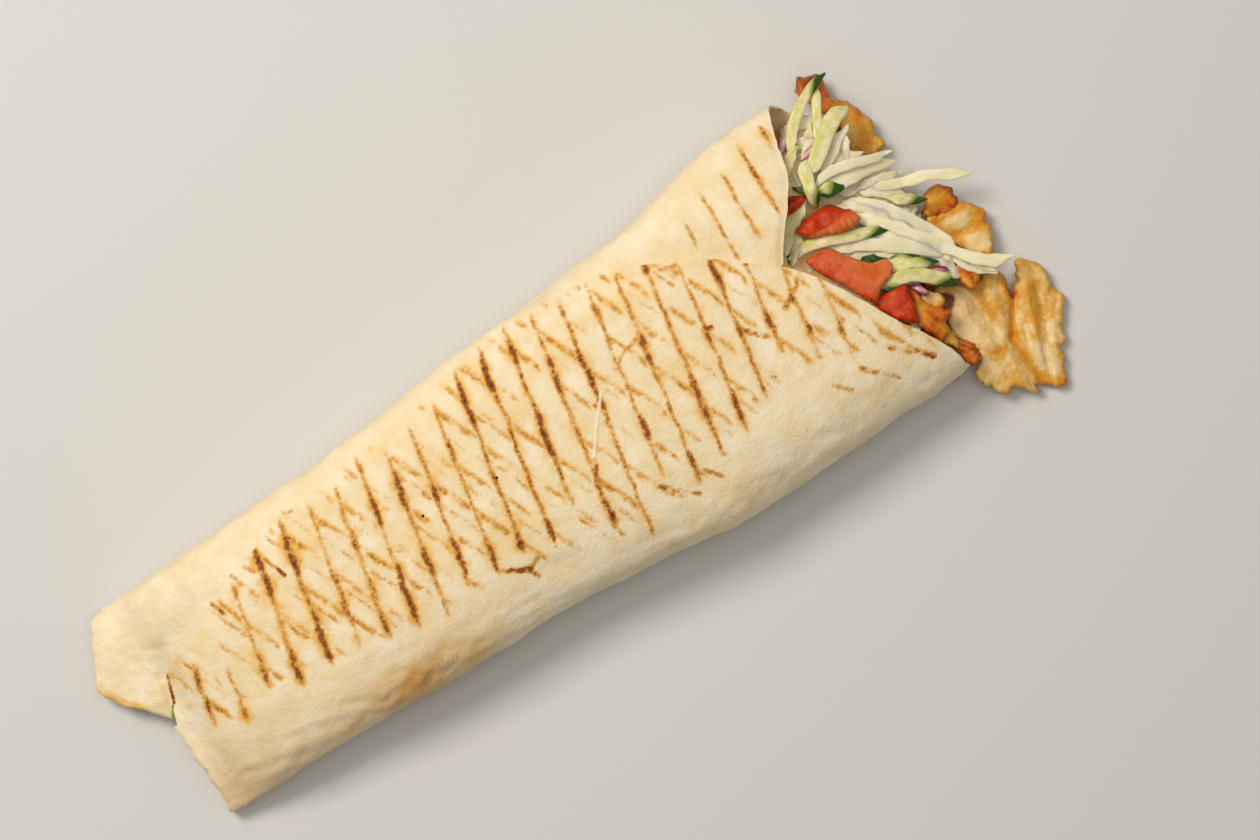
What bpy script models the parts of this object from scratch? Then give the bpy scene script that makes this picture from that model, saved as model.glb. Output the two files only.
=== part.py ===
"""Doner kebab wrap: one round flatbread rolled round chicken, salad and tomato.

The roll lies along X with its mouth at +X, pressed flat on top and underneath. Places
along and across the roll are in millimetres; add_mesh() turns them to metres and moves
everything by MIDDLE, so that the origin is on the table under the middle of the food.

A place on the bread is given by x and by turn, the way round the roll: 0 at the -Y side,
0.5 at the +Y side over the top, and -0.5 at the +Y side underneath. The bread goes on
under itself from -0.5 to about -0.75.
"""
import math

import bmesh
import bpy
import numpy as np

MM = 0.001
MIDDLE = (-10.953, -4.688)

# The bread, a disc 300 mm across before it was rolled.
BREAD_THICK = 1.6
LAYER_GAP = 0.8
LAYER_DROP = BREAD_THICK + LAYER_GAP
DROP_START = 0.10
DROP_END = 0.03

# The section of the roll: half widths and height at stations along it.
STATIONS = (-172, -158, -144, -120, -84, -40, 0, 40, 84, 128)
HALF_PLUS = (39.1, 39.0, 38.9, 39.6, 40.4, 43.0, 46.8, 48.2, 56.2, 58.2)
HALF_MINUS = (39.0, 38.9, 38.6, 39.5, 41.0, 42.4, 45.8, 49.3, 49.0, 48.4)
HEIGHT = (9.5, 11.5, 22.0, 30.0, 35.0, 38.0, 39.5, 40.0, 38.5, 33.0)
WAIST = 0.46
TOP_SQUARENESS = (2.4, 3.4)
BASE_SQUARENESS = (3.0, 3.4)
FLAT_SINK = 0.8

# The outline of the bread: where it ends along x at each turn, and the two long edges.
MOUTH_TURN = (-0.72, -0.69, -0.665, -0.63, -0.60, -0.556, -0.50, -0.42, -0.32, -0.16,
              -0.08, 0.0, 0.066, 0.105, 0.145, 0.18, 0.215, 0.25, 0.276)
MOUTH_X = (83.3, 88.5, 94.0, 99.5, 102.0, 105.5, 108.7, 117, 124, 123,
           119, 117, 114, 109.5, 103.4, 98.8, 93.9, 88.4, 83.1)
CLOSED_TURN = (-0.781, -0.744, -0.69, -0.66, -0.643, -0.624, -0.556, -0.515, -0.50, -0.38,
               -0.18, 0.0, 0.05, 0.213)
CLOSED_X = (-157.7, -162.4, -170.1, -173.2, -174.7, -172.7, -167.2, -163.4, -160.4, -158.0,
            -159.0, -159.9, -158.6, -159.5)
INNER_X = (-157.7, -110, -30, 40, 83.3)
INNER_TURN = (-0.781, -0.80, -0.80, -0.77, -0.72)
FREE_X = (-159.5, -156.5, -153, -148, -135, -93.5, -72, -20, 35.6, 62, 76, 83.1)
FREE_TURN = (0.213, 0.235, 0.29, 0.317, 0.347, 0.412, 0.50, 0.52, 0.416, 0.35, 0.301, 0.276)

# The closed end is turned in: radius of the fold, and how much bread goes round it.
FOLD_RADIUS = 1.3
FOLD_TURN = (-0.781, -0.70, -0.60, -0.45, -0.22, -0.08, 0.213)
FOLD_LENGTH = (1.5, 2.0, 12.0, 13.0, 10.0, 2.0, 1.5)
FOLD_STEPS = (0.08, 0.16, 0.24, 0.32, 0.6, 1.0)

BREAD_COLUMNS = 26
BREAD_ROWS = 46
SECTION_SAMPLES = 400

# The filling inside the roll, shaved chicken below and salad above.
CLEARANCE = 0.7
BASE_INSET = BREAD_THICK + CLEARANCE
TOP_INSET = BREAD_THICK + LAYER_DROP + CLEARANCE
UNDER_LAP_START = 0.45
UNDER_LAP_END = 0.75
FILLING_ACROSS = 11
MEAT_STATIONS = (-143, -130, -105, -80, -50, -20, 10, 40, 65, 84, 94, 102, 109, 115)
MEAT_LEVEL_X = (-143, -120, -60, 0, 60, 90, 102, 115)
MEAT_LEVEL = (9.0, 13.0, 16.0, 17.0, 17.0, 16.0, 13.5, 9.5)
SALAD_STATIONS = (-143, -130, -105, -80, -50, -20, 10, 40, 65, 80, 86, 92, 98, 104,
                  110, 116, 122, 127, 130.5)
SALAD_TOP_X = (80, 86, 92, 100, 108, 116, 124, 130.5)
SALAD_TOP = (40.0, 30.0, 23.6, 22.6, 20.4, 18.5, 16.5, 13.5)
SALAD_MINUS_X = (84, 94, 102, 110, 116, 122, 130.5)
SALAD_MINUS = (-50.0, -34.0, -31.0, -29.0, -16.0, -15.0, -13.0)
SALAD_PLUS_X = (90, 98, 104, 112, 122, 130.5)
SALAD_PLUS = (60.0, 49.0, 47.0, 48.0, 49.0, 40.0)
SALAD_FAR_RISE = 4.5
SALAD_OVERHANG = 10.6


def smooth_curve(stations, values):
    """Return a function that runs smoothly through the values without overshooting."""
    x = np.asarray(stations, float)
    y = np.asarray(values, float)
    step = np.diff(x)
    slope = np.diff(y) / step
    tangent = np.zeros_like(y)
    tangent[0] = slope[0]
    tangent[-1] = slope[-1]
    for i in range(1, len(y) - 1):
        if slope[i - 1] * slope[i] > 0:
            before = 2 * step[i] + step[i - 1]
            after = step[i] + 2 * step[i - 1]
            tangent[i] = (before + after) / (before / slope[i - 1] + after / slope[i])

    def curve(at):
        at = np.clip(np.asarray(at, float), x[0], x[-1])
        i = np.clip(np.searchsorted(x, at) - 1, 0, len(step) - 1)
        t = (at - x[i]) / step[i]
        ends = (1 + 2 * t) * (1 - t) ** 2 * y[i] + t * t * (3 - 2 * t) * y[i + 1]
        bends = t * (1 - t) ** 2 * tangent[i] - t * t * (1 - t) * tangent[i + 1]
        return ends + bends * step[i]

    return curve


half_plus = smooth_curve(STATIONS, HALF_PLUS)
half_minus = smooth_curve(STATIONS, HALF_MINUS)
height = smooth_curve(STATIONS, HEIGHT)
mouth_x = smooth_curve(MOUTH_TURN, MOUTH_X)
closed_x = smooth_curve(CLOSED_TURN, CLOSED_X)
inner_turn = smooth_curve(INNER_X, INNER_TURN)
free_turn = smooth_curve(FREE_X, FREE_TURN)
fold_length = smooth_curve(FOLD_TURN, FOLD_LENGTH)
meat_level = smooth_curve(MEAT_LEVEL_X, MEAT_LEVEL)
salad_top = smooth_curve(SALAD_TOP_X, SALAD_TOP)
salad_minus = smooth_curve(SALAD_MINUS_X, SALAD_MINUS)
salad_plus = smooth_curve(SALAD_PLUS_X, SALAD_PLUS)


def ease(t):
    """Go from 0 to 1 with no corner at either end."""
    t = np.clip(t, 0.0, 1.0)
    return t * t * (3 - 2 * t)


def section_heights(x, across):
    """Return y, base z and top z of the roll at x; across runs from -1 to 1."""
    minus = across < 0
    y = np.where(minus, half_minus(x), half_plus(x)) * across
    side = WAIST * height(x)
    top_power = np.where(minus, *TOP_SQUARENESS)
    base_power = np.where(minus, *BASE_SQUARENESS)
    out = np.minimum(np.abs(across), 1.0)
    top = side + (height(x) - side) * (1 - out ** top_power) ** (1 / top_power)
    base = side * (1 - (1 - out ** base_power) ** (1 / base_power))
    base = np.maximum(0.0, base - FLAT_SINK) * side / (side - FLAT_SINK)
    return y, base, top


def section_loop(x, samples=SECTION_SAMPLES):
    """Return y, z and the inward normal at even turns once round the roll at x."""
    across = -np.cos(np.linspace(0.0, math.pi, samples))
    y, base, top = section_heights(x, across)
    halves = []
    for z in (top, base):
        run = np.concatenate([[0.0], np.cumsum(np.hypot(np.diff(y), np.diff(z)))])
        halves.append((0.5 * run / run[-1], z))
    turn = np.linspace(-0.5, 0.5, samples + 1)
    way = np.abs(turn)
    over = [np.interp(way, halves[0][0], values) for values in (y, halves[0][1])]
    under = [np.interp(way, halves[1][0], values) for values in (y, halves[1][1])]
    loop_y = np.where(turn >= 0, over[0], under[0])
    loop_z = np.where(turn >= 0, over[1], under[1])
    dy = np.roll(loop_y[:-1], -1) - np.roll(loop_y[:-1], 1)
    dz = np.roll(loop_z[:-1], -1) - np.roll(loop_z[:-1], 1)
    length = np.hypot(dy, dz)
    normal_y = np.append(dz / length, dz[0] / length[0])
    normal_z = np.append(-dy / length, -dy[0] / length[0])
    return turn, loop_y, loop_z, normal_y, normal_z


def roll_point(x, turn, depth):
    """Return the point at x and turn, at a depth under the outside of the roll."""
    turns, loop_y, loop_z, normal_y, normal_z = section_loop(x)
    wrapped = (turn + 0.5) % 1.0 - 0.5
    y = np.interp(wrapped, turns, loop_y) + depth * np.interp(wrapped, turns, normal_y)
    z = np.interp(wrapped, turns, loop_z) + depth * np.interp(wrapped, turns, normal_z)
    return x, y, max(z, 0.0)


def layer_depth(x, turn):
    """Return how deep the bread lies, where it goes under its own free edge."""
    edge = free_turn(x) - 1.0
    return LAYER_DROP * ease((edge + DROP_START - turn) / (DROP_START - DROP_END))


def bread_point(x, turn, round_fold, side):
    """Return a point of the bread: side -1 is the outside and +1 the inside."""
    angle = min(round_fold / FOLD_RADIUS, math.pi)
    past = round_fold - angle * FOLD_RADIUS
    at = x - FOLD_RADIUS * math.sin(angle) + past
    at += side * math.sin(angle) * BREAD_THICK / 2
    depth = layer_depth(x, turn) + BREAD_THICK / 2
    depth += FOLD_RADIUS * (1 - math.cos(angle)) + side * math.cos(angle) * BREAD_THICK / 2
    return roll_point(at, turn, depth)


def bread_grid():
    """Return x, turn and run round the end fold for each place on the bread."""
    low = (CLOSED_TURN[0], MOUTH_TURN[0])
    high = (CLOSED_TURN[-1], MOUTH_TURN[-1])
    corners_x = ((CLOSED_X[0], MOUTH_X[0]), (CLOSED_X[-1], MOUTH_X[-1]))
    rows = []
    for v in np.linspace(0.0, 1.0, BREAD_ROWS + 1):
        left_turn = low[0] + (high[0] - low[0]) * v
        right_turn = low[1] + (high[1] - low[1]) * v
        left = float(closed_x(left_turn))
        right = float(mouth_x(right_turn))
        length = float(fold_length(left_turn))
        row = [(left, left_turn, length * step) for step in reversed(FOLD_STEPS)]
        for u in np.linspace(0.0, 1.0, BREAD_COLUMNS + 1):
            near_x = INNER_X[0] + (INNER_X[-1] - INNER_X[0]) * u
            far_x = FREE_X[0] + (FREE_X[-1] - FREE_X[0]) * u
            corner_x = ((1 - v) * ((1 - u) * corners_x[0][0] + u * corners_x[0][1])
                        + v * ((1 - u) * corners_x[1][0] + u * corners_x[1][1]))
            corner_turn = ((1 - v) * ((1 - u) * low[0] + u * low[1])
                           + v * ((1 - u) * high[0] + u * high[1]))
            x = (1 - u) * left + u * right + (1 - v) * near_x + v * far_x - corner_x
            turn = ((1 - u) * left_turn + u * right_turn + (1 - v) * inner_turn(near_x)
                    + v * free_turn(far_x) - corner_turn)
            row.append((x, float(turn), 0.0))
        rows.append(row)
    return rows


def material(name, colour, roughness):
    """Make a plain material with one colour and roughness."""
    made = bpy.data.materials.new(name)
    made.use_nodes = True
    shader = made.node_tree.nodes["Principled BSDF"]
    shader.inputs["Base Color"].default_value = (*colour, 1.0)
    shader.inputs["Roughness"].default_value = roughness
    shader.inputs["Metallic"].default_value = 0.0
    made.diffuse_color = (*colour, 1.0)
    return made


def add_mesh(name, points, faces, look):
    """Make an object in metres from points in millimetres, with its faces out."""
    mesh = bpy.data.meshes.new(name)
    placed = [((x - MIDDLE[0]) * MM, (y - MIDDLE[1]) * MM, z * MM) for x, y, z in points]
    mesh.from_pydata(placed, [], faces)
    shape = bmesh.new()
    shape.from_mesh(mesh)
    bmesh.ops.recalc_face_normals(shape, faces=shape.faces)
    bmesh.ops.triangulate(shape, faces=shape.faces)
    shape.to_mesh(mesh)
    shape.free()
    mesh.shade_smooth()
    mesh.set_sharp_from_angle(angle=math.radians(50))
    mesh.materials.append(look)
    made = bpy.data.objects.new(name, mesh)
    bpy.context.collection.objects.link(made)
    return made


def band_faces(first, second):
    """Return the quads between two closed rings of point numbers."""
    count = len(first)
    return [(first[i], first[(i + 1) % count], second[(i + 1) % count], second[i])
            for i in range(count)]


def make_bread(look):
    """Make the rolled bread as one closed sheet of even thickness."""
    grid = bread_grid()
    rows = len(grid)
    columns = len(grid[0])
    points = []
    for side in (-1, 1):
        points += [bread_point(*place, side) for row in grid for place in row]
    below = rows * columns
    faces = []
    for i in range(rows - 1):
        for j in range(columns - 1):
            a = i * columns + j
            quad = (a, a + 1, a + columns + 1, a + columns)
            faces.append(quad)
            faces.append(tuple(below + corner for corner in reversed(quad)))
    rim = [j for j in range(columns)]
    rim += [i * columns + columns - 1 for i in range(1, rows)]
    rim += [(rows - 1) * columns + j for j in range(columns - 2, -1, -1)]
    rim += [i * columns for i in range(rows - 2, 0, -1)]
    faces += band_faces(rim, [below + corner for corner in rim])
    return add_mesh("flatbread", points, faces, look)


def inner_limits(x, y):
    """Return the lowest and highest z that the filling can have at x and y."""
    inset_plus = half_plus(x) - TOP_INSET
    inset_minus = half_minus(x) - BASE_INSET
    across = np.where(y < 0, y / inset_minus, y / inset_plus)
    _, base, top = section_heights(x, np.clip(across, -1.0, 1.0))
    middle = WAIST * height(x)
    full = height(x)
    lap = ease((across - UNDER_LAP_START) / (UNDER_LAP_END - UNDER_LAP_START))
    inset = BASE_INSET + LAYER_DROP * lap
    low = inset + base * (middle - inset) / middle
    high = middle + (top - middle) * (full - TOP_INSET - middle) / (full - middle)
    return low, high


def filling_solid(name, sections, look):
    """Make a solid from sections; each is x, a row of y, and its low and high z."""
    points = []
    rings = []
    for x, across, low, high in sections:
        start = len(points)
        points += [(x, y, z) for y, z in zip(across, low)]
        points += [(x, y, z) for y, z in zip(across[::-1], high[::-1])]
        rings.append(list(range(start, len(points))))
    faces = [tuple(rings[0]), tuple(rings[-1])]
    for first, second in zip(rings, rings[1:]):
        faces += band_faces(first, second)
    return add_mesh(name, points, faces, look)


def across_roll(minus, plus):
    """Return places across the roll, closer together at both sides."""
    spread = -np.cos(np.linspace(0.0, math.pi, FILLING_ACROSS))
    return (minus + plus) / 2 + (plus - minus) / 2 * spread


def inner_sides(x, shy):
    """Return the y limits of the filling, held back by shy from the bread."""
    return shy + BASE_INSET - half_minus(x), half_plus(x) - TOP_INSET - shy


def meat_top(x, y):
    """Return the upper level of the shaved chicken, with low swells in it."""
    return meat_level(x) + 0.7 * np.sin(x / 9.0 + y / 13.0)


def make_meat(look):
    """Make the shaved chicken that fills the lower half of the roll."""
    sections = []
    for x in MEAT_STATIONS:
        minus, plus = inner_sides(x, 2.5)
        y = across_roll(minus, plus)
        low, high = inner_limits(x, y)
        sections.append((x, y, low, np.clip(meat_top(x, y), low + 1.5, high - 2.5)))
    return filling_solid("doner_meat", sections, look)


def salad_section(x):
    """Return one section of the salad, inside the roll or out past its mouth."""
    minus, plus = inner_sides(x, 2.5)
    y = across_roll(max(minus, float(salad_minus(x))), min(plus, float(salad_plus(x))))
    low, high = inner_limits(x, y)
    bottom = np.clip(meat_top(x, y), low + 1.5, high - 2.5) + CLEARANCE
    bottom = np.maximum(bottom, SALAD_OVERHANG) if x > MEAT_STATIONS[-2] else bottom
    heap = salad_top(x) + SALAD_FAR_RISE * ease((y - 20.0) / 8.0)
    heap -= 3.0 * ease((y - 36.0) / 14.0)
    return x, y, bottom, np.maximum(np.minimum(heap, high), bottom + 1.0)


def guide(made):
    """Mark an object as a shape that only helps to make another."""
    made.hide_render = True
    made.display_type = "WIRE"
    return made


def strip(name, path, width, thick, look):
    """Make a flat strip along a path of points, square across."""
    points = []
    rings = []
    for i, place in enumerate(path):
        before = np.array(path[max(i - 1, 0)], float)
        after = np.array(path[min(i + 1, len(path) - 1)], float)
        along = (after - before) / np.linalg.norm(after - before)
        beside = np.array((-along[1], along[0], 0.0)) * width / 2
        start = len(points)
        for side, lift in ((-1, -1), (1, -1), (1, 1), (-1, 1)):
            points.append(tuple(np.array(place, float) + side * beside
                                + (0.0, 0.0, lift * thick / 2)))
        rings.append(list(range(start, start + 4)))
    faces = [tuple(rings[0]), tuple(rings[-1])]
    for first, second in zip(rings, rings[1:]):
        faces += band_faces(first, second)
    return add_mesh(name, points, faces, look)


# Strips of cabbage and cucumber that stand out of the heap: path, width and thickness.
STANDING_STRIPS = (
    (((122, 16, 13.5), (134, 12, 14.5), (142, 9, 14), (150, 5.5, 12.5)), 3.8, 2.2),
    (((122, -6, 13.5), (130, -11.5, 14.5), (138, -19, 14), (146.5, -25.5, 12.5)), 4.6, 2.2),
    (((112, 47, 20), (119, 53.5, 17.5), (128, 57, 14)), 4.0, 2.4),
    (((116, 37, 19.5), (122, 41.5, 18.5), (128, 45, 16)), 5.0, 2.6),
    (((118, -14, 17), (123, -19, 16), (128, -22.5, 14.5)), 3.6, 2.4),
)


def make_salad(look):
    """Make the salad: a heap along the roll with a few strips standing out of it."""
    salad = filling_solid("salad", [salad_section(x) for x in SALAD_STATIONS], look)
    for number, (path, width, thick) in enumerate(STANDING_STRIPS, 1):
        piece = guide(strip(f"standing_strip_{number}", path, width, thick, look))
        union = salad.modifiers.new(f"strip_{number}", "BOOLEAN")
        union.operation = "UNION"
        union.solver = "EXACT"
        union.object = piece
    return salad


def closed_outline(corners, count):
    """Return count points on a smooth closed curve through the corners."""
    corners = np.asarray(corners, float)
    size = len(corners)
    outline = []
    for place in np.linspace(0.0, size, count, endpoint=False):
        i = int(place)
        t = place - i
        p0, p1, p2, p3 = (corners[(i + k) % size] for k in (-1, 0, 1, 2))
        outline.append(p1 + 0.5 * t * (p2 - p0 + t * (2 * p0 - 5 * p1 + 4 * p2 - p3
                                                      + t * (3 * (p1 - p2) + p3 - p0))))
    return np.array(outline)


# Rings of a slice, from the middle of its underside out and back over the top:
# how far out each ring is, and its height as a share of the thickness.
SLICE_RINGS = ((0.55, 0.0), (0.93, 0.1), (1.0, 0.5), (0.93, 0.92), (0.55, 1.0))
FLOOR_CLEARANCE = 0.3


def make_slice(name, look, corners, low, thick, lean=(0.0, 0.0), ripple=(0.0, 10.0, 0.0),
               count=24):
    """Make a slice with a freely cut outline that may lean and ripple.

    low is the height of its underside over the table at the middle, lean is its rise
    along x and y, and ripple is the height, pitch and direction of its waves.
    """
    outline = closed_outline(corners, count)
    middle = outline.mean(axis=0)
    wave, pitch, turned = ripple

    def level(x, y, share):
        along = x * math.cos(turned) + y * math.sin(turned)
        base = low + lean[0] * (x - middle[0]) + lean[1] * (y - middle[1])
        base += wave * math.sin(2 * math.pi * along / pitch)
        return max(base, FLOOR_CLEARANCE) + share * thick

    points = [(*middle, level(*middle, 0.0))]
    rings = []
    for out, share in SLICE_RINGS:
        ring = middle + out * (outline - middle)
        rings.append(list(range(len(points), len(points) + count)))
        points += [(x, y, level(x, y, share)) for x, y in ring]
    points.append((*middle, level(*middle, 1.0)))
    faces = [(0, a, b) for a, b in zip(rings[0], rings[0][1:] + rings[0][:1])]
    for first, second in zip(rings, rings[1:]):
        faces += band_faces(first, second)
    last = len(points) - 1
    faces += [(last, b, a) for a, b in zip(rings[-1], rings[-1][1:] + rings[-1][:1])]
    return add_mesh(name, points, faces, look)


def make_chicken(look):
    """Make the slices of chicken that hang out of the mouth."""
    make_slice("chicken_slice_1", look, low=3.4, thick=5.0, lean=(-0.08, 0.0), corners=(
        (118, 56), (121, 60), (126, 57), (126.5, 48), (132, 41), (133.5, 33), (130, 26),
        (120, 28), (123, 38), (121, 48)))
    make_slice("chicken_slice_2", look, low=6.2, thick=3.0, lean=(-0.15, 0.0), corners=(
        (131.5, 3), (134, 6), (139, 7), (143, 4), (142, 0.6), (136, 0.2)))
    make_slice("chicken_slice_3", look, low=2.6, thick=6.0, lean=(-0.10, 0.02), corners=(
        (131, -1.5), (138, -0.6), (145, -3), (148, -8), (147, -14), (143, -19), (137, -18),
        (131.5, -11)))
    make_slice("chicken_slice_4", look, low=3.4, thick=6.0, lean=(-0.13, 0.07), count=36,
               ripple=(0.7, 11.0, -0.44), corners=(
                   (120, -23), (127, -23), (134, -26.5), (141, -28), (141.5, -37),
                   (146.5, -28), (151.5, -31), (154.5, -44), (147, -56), (141, -69),
                   (132, -66), (125, -61), (120, -55), (121.5, -48), (123, -42),
                   (120, -33)))
    make_slice("chicken_slice_5", look, low=12.6, thick=3.0, count=18, corners=(
        (130, -19), (133, -19.5), (134.5, -24), (132, -26), (130, -23)))
    make_slice("chicken_slice_6", look, low=14.0, thick=4.5, lean=(-0.2, 0.0), corners=(
        (115.4, -18), (119, -20), (122, -27), (119, -32), (115, -34), (113.2, -29)))
    make_slice("chicken_slice_7", look, low=13.6, thick=3.4, lean=(-0.1, 0.0), count=18,
               corners=((119, -37), (121, -41), (121.5, -46), (119, -46.5), (118, -41)))


def make_tomato(look):
    """Make the pieces of tomato that lie on the salad in the mouth."""
    make_slice("tomato_piece_1", look, low=28.2, thick=3.2, lean=(-0.1, 0.0), count=18,
               corners=((94, 26), (97, 29.5), (101.5, 27.5), (98, 24.5)))
    make_slice("tomato_piece_2", look, low=24.6, thick=5.0, lean=(-0.12, 0.0), corners=(
        (94.5, 18), (100, 20.3), (107, 20), (112, 15.5), (112.6, 11.6), (107, 10.6),
        (97, 14)))
    make_slice("tomato_piece_3", look, low=24.0, thick=6.0, lean=(-0.12, 0.02), corners=(
        (92, 8), (98, 8.6), (104, 3), (110, -3), (112.6, -7), (106, -11.4), (98, -8)))
    make_slice("tomato_piece_4", look, low=21.6, thick=5.0, lean=(-0.12, 0.0), corners=(
        (103.5, -14), (112, -14.6), (113.4, -20), (110, -27), (106, -23)))


def remove_all_objects():
    """Clear the scene of whatever it starts with."""
    for item in list(bpy.data.objects):
        bpy.data.objects.remove(item, do_unlink=True)


def main():
    """Build every piece of the wrap."""
    remove_all_objects()
    make_bread(material("toasted_flatbread", (0.84, 0.68, 0.42), 0.75))
    make_meat(material("shaved_chicken", (0.60, 0.33, 0.12), 0.5))
    make_salad(material("mixed_salad", (0.68, 0.64, 0.36), 0.45))
    make_chicken(material("roast_chicken", (0.66, 0.37, 0.13), 0.45))
    make_tomato(material("tomato_flesh", (0.56, 0.07, 0.02), 0.3))


main()
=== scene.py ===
"""Doner kebab wrap: a toasted flatbread rolled round chicken, salad and tomato.

The roll lies along X with its open mouth at +X. Places are written in millimetres in the
roll's own plan, where y is 0 along the line that the bread was rolled on; to_metres() moves
them to the frame. A place on the bread is given by x and by turn, the way round the roll:
0 at the -Y side, 0.5 at the +Y side over the top, and -0.5 at the +Y side underneath. The
bread goes on under itself from -0.5 to about -0.75.
"""

import logging
import math
from dataclasses import dataclass, field
from functools import cache, partial
from typing import Any, Callable, Sequence

import bpy
import numpy as np
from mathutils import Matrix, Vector
from mathutils.geometry import delaunay_2d_cdt

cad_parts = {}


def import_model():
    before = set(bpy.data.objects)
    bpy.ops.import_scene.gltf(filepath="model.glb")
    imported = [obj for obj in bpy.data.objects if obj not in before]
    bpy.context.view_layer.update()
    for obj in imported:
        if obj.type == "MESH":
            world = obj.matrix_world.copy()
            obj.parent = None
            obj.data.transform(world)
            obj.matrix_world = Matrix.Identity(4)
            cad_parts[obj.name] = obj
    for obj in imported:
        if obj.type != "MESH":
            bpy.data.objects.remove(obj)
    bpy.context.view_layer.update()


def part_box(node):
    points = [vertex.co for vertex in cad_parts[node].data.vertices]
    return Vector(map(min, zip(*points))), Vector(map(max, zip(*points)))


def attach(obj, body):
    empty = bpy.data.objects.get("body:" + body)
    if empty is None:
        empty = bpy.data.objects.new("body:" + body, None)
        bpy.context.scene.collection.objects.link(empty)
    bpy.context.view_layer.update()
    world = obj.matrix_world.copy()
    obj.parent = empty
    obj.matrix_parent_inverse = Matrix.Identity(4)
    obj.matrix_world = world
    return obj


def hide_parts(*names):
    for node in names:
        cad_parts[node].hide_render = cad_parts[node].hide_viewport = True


LOG = logging.getLogger("doner_kebab_wrap")
MM = 0.001
BODY = "root"

Array = np.ndarray
Curve = Callable[[Any], Array]


# ---------------------------------------------------------------- small tools


def smooth_curve(stations: Sequence[float], values: Sequence[float]) -> Curve:
    """Make a curve that runs smoothly through the values without overshooting.

    Args:
        stations: where the values are, in rising order.
        values: the curve's value at each station.

    Returns:
        A function of one number or array; beyond the ends it stays level.
    """
    x = np.asarray(stations, float)
    y = np.asarray(values, float)
    step = np.diff(x)
    slope = np.diff(y) / step
    tangent = np.zeros_like(y)
    tangent[0] = slope[0]
    tangent[-1] = slope[-1]
    for i in range(1, len(y) - 1):
        if slope[i - 1] * slope[i] > 0:
            before = 2 * step[i] + step[i - 1]
            after = step[i] + 2 * step[i - 1]
            tangent[i] = (before + after) / (before / slope[i - 1] + after / slope[i])

    def curve(at: Any) -> Array:
        """Return the curve's value at each place."""
        at = np.clip(np.asarray(at, float), x[0], x[-1])
        i = np.clip(np.searchsorted(x, at) - 1, 0, len(step) - 1)
        t = (at - x[i]) / step[i]
        ends = (1 + 2 * t) * (1 - t) ** 2 * y[i] + t * t * (3 - 2 * t) * y[i + 1]
        bends = t * (1 - t) ** 2 * tangent[i] - t * t * (1 - t) * tangent[i + 1]
        return ends + bends * step[i]

    return curve


def smooth_path(corners: Any, count: int, closed: bool = False) -> Array:
    """Return points at even steps on a smooth curve through the corners.

    Args:
        corners: the places that the curve passes, each of the same size.
        count: how many points to return.
        closed: whether the curve runs back to its start.

    Returns:
        An array of count rows.
    """
    corners = np.asarray(corners, float)
    size = len(corners)
    if closed:
        place = np.linspace(0.0, size, count, endpoint=False)
        first = np.floor(place).astype(int)
        numbers = [(first + k) % size for k in (-1, 0, 1, 2)]
    else:
        place = np.linspace(0.0, size - 1.0, count)
        first = np.minimum(np.floor(place).astype(int), size - 2)
        numbers = [np.clip(first + k, 0, size - 1) for k in (-1, 0, 1, 2)]
    t = (place - first)[:, None]
    p0, p1, p2, p3 = (corners[n] for n in numbers)
    return p1 + 0.5 * t * (p2 - p0 + t * (2 * p0 - 5 * p1 + 4 * p2 - p3
                                          + t * (3 * (p1 - p2) + p3 - p0)))


def ease(t: Any) -> Array:
    """Go from 0 to 1 with no corner at either end."""
    t = np.clip(t, 0.0, 1.0)
    return t * t * (3 - 2 * t)


def soft_noise(x: Any, y: Any, size: float, seed: int) -> Array:
    """Return smooth random swells between -1 and 1.

    Args:
        x: first coordinate, in the same unit as size.
        y: second coordinate.
        size: distance between the swells' knots.
        seed: which random field to take.

    Returns:
        One value for each place.
    """
    count = 64
    table = np.random.default_rng(seed).uniform(-1.0, 1.0, (count, count))
    u = np.asarray(x, float) / size + 1000.0
    v = np.asarray(y, float) / size + 1000.0
    i = np.floor(u).astype(int)
    j = np.floor(v).astype(int)
    s = ease(u - i)
    t = ease(v - j)
    near = table[i % count, j % count] * (1 - s) + table[(i + 1) % count, j % count] * s
    far = (table[i % count, (j + 1) % count] * (1 - s)
           + table[(i + 1) % count, (j + 1) % count] * s)
    return near * (1 - t) + far * t


def bell(distance: Any, width: float) -> Array:
    """Return 1 in the middle and fall off smoothly over about the width."""
    return np.exp(-(np.asarray(distance, float) / width) ** 2)


def from_line(x: Array, y: Array, start: Sequence[float], end: Sequence[float]) -> Array:
    """Return how far each place is from the straight piece between start and end."""
    along = np.array(end, float) - np.array(start, float)
    share = ((x - start[0]) * along[0] + (y - start[1]) * along[1]) / (along @ along)
    share = np.clip(share, 0.0, 1.0)
    return np.hypot(x - start[0] - share * along[0], y - start[1] - share * along[1])


@cache
def roll_middle() -> tuple[float, float]:
    """Return where the frame's origin lies in the roll's plan, in millimetres.

    The shaved chicken starts at x = -143 on the roll, and the widest place of the bread
    on the -Y side is at y = -49.3.
    """
    return (-143.0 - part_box("doner_meat")[0][0] / MM, -49.3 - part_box("flatbread")[0][1] / MM)


def to_metres(points: Any) -> Array:
    """Turn places in the roll's plan, in millimetres, into the frame's metres."""
    placed = np.array(points, float).reshape(-1, 3)
    placed[:, :2] -= roll_middle()
    return placed * MM


def colour(code: str) -> tuple[float, float, float, float]:
    """Turn an sRGB hex colour, such as "f0dcb0", into linear RGBA."""
    parts = [int(code[i:i + 2], 16) / 255.0 for i in (0, 2, 4)]
    linear = [c / 12.92 if c <= 0.04045 else ((c + 0.055) / 1.055) ** 2.4 for c in parts]
    return (linear[0], linear[1], linear[2], 1.0)


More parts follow.
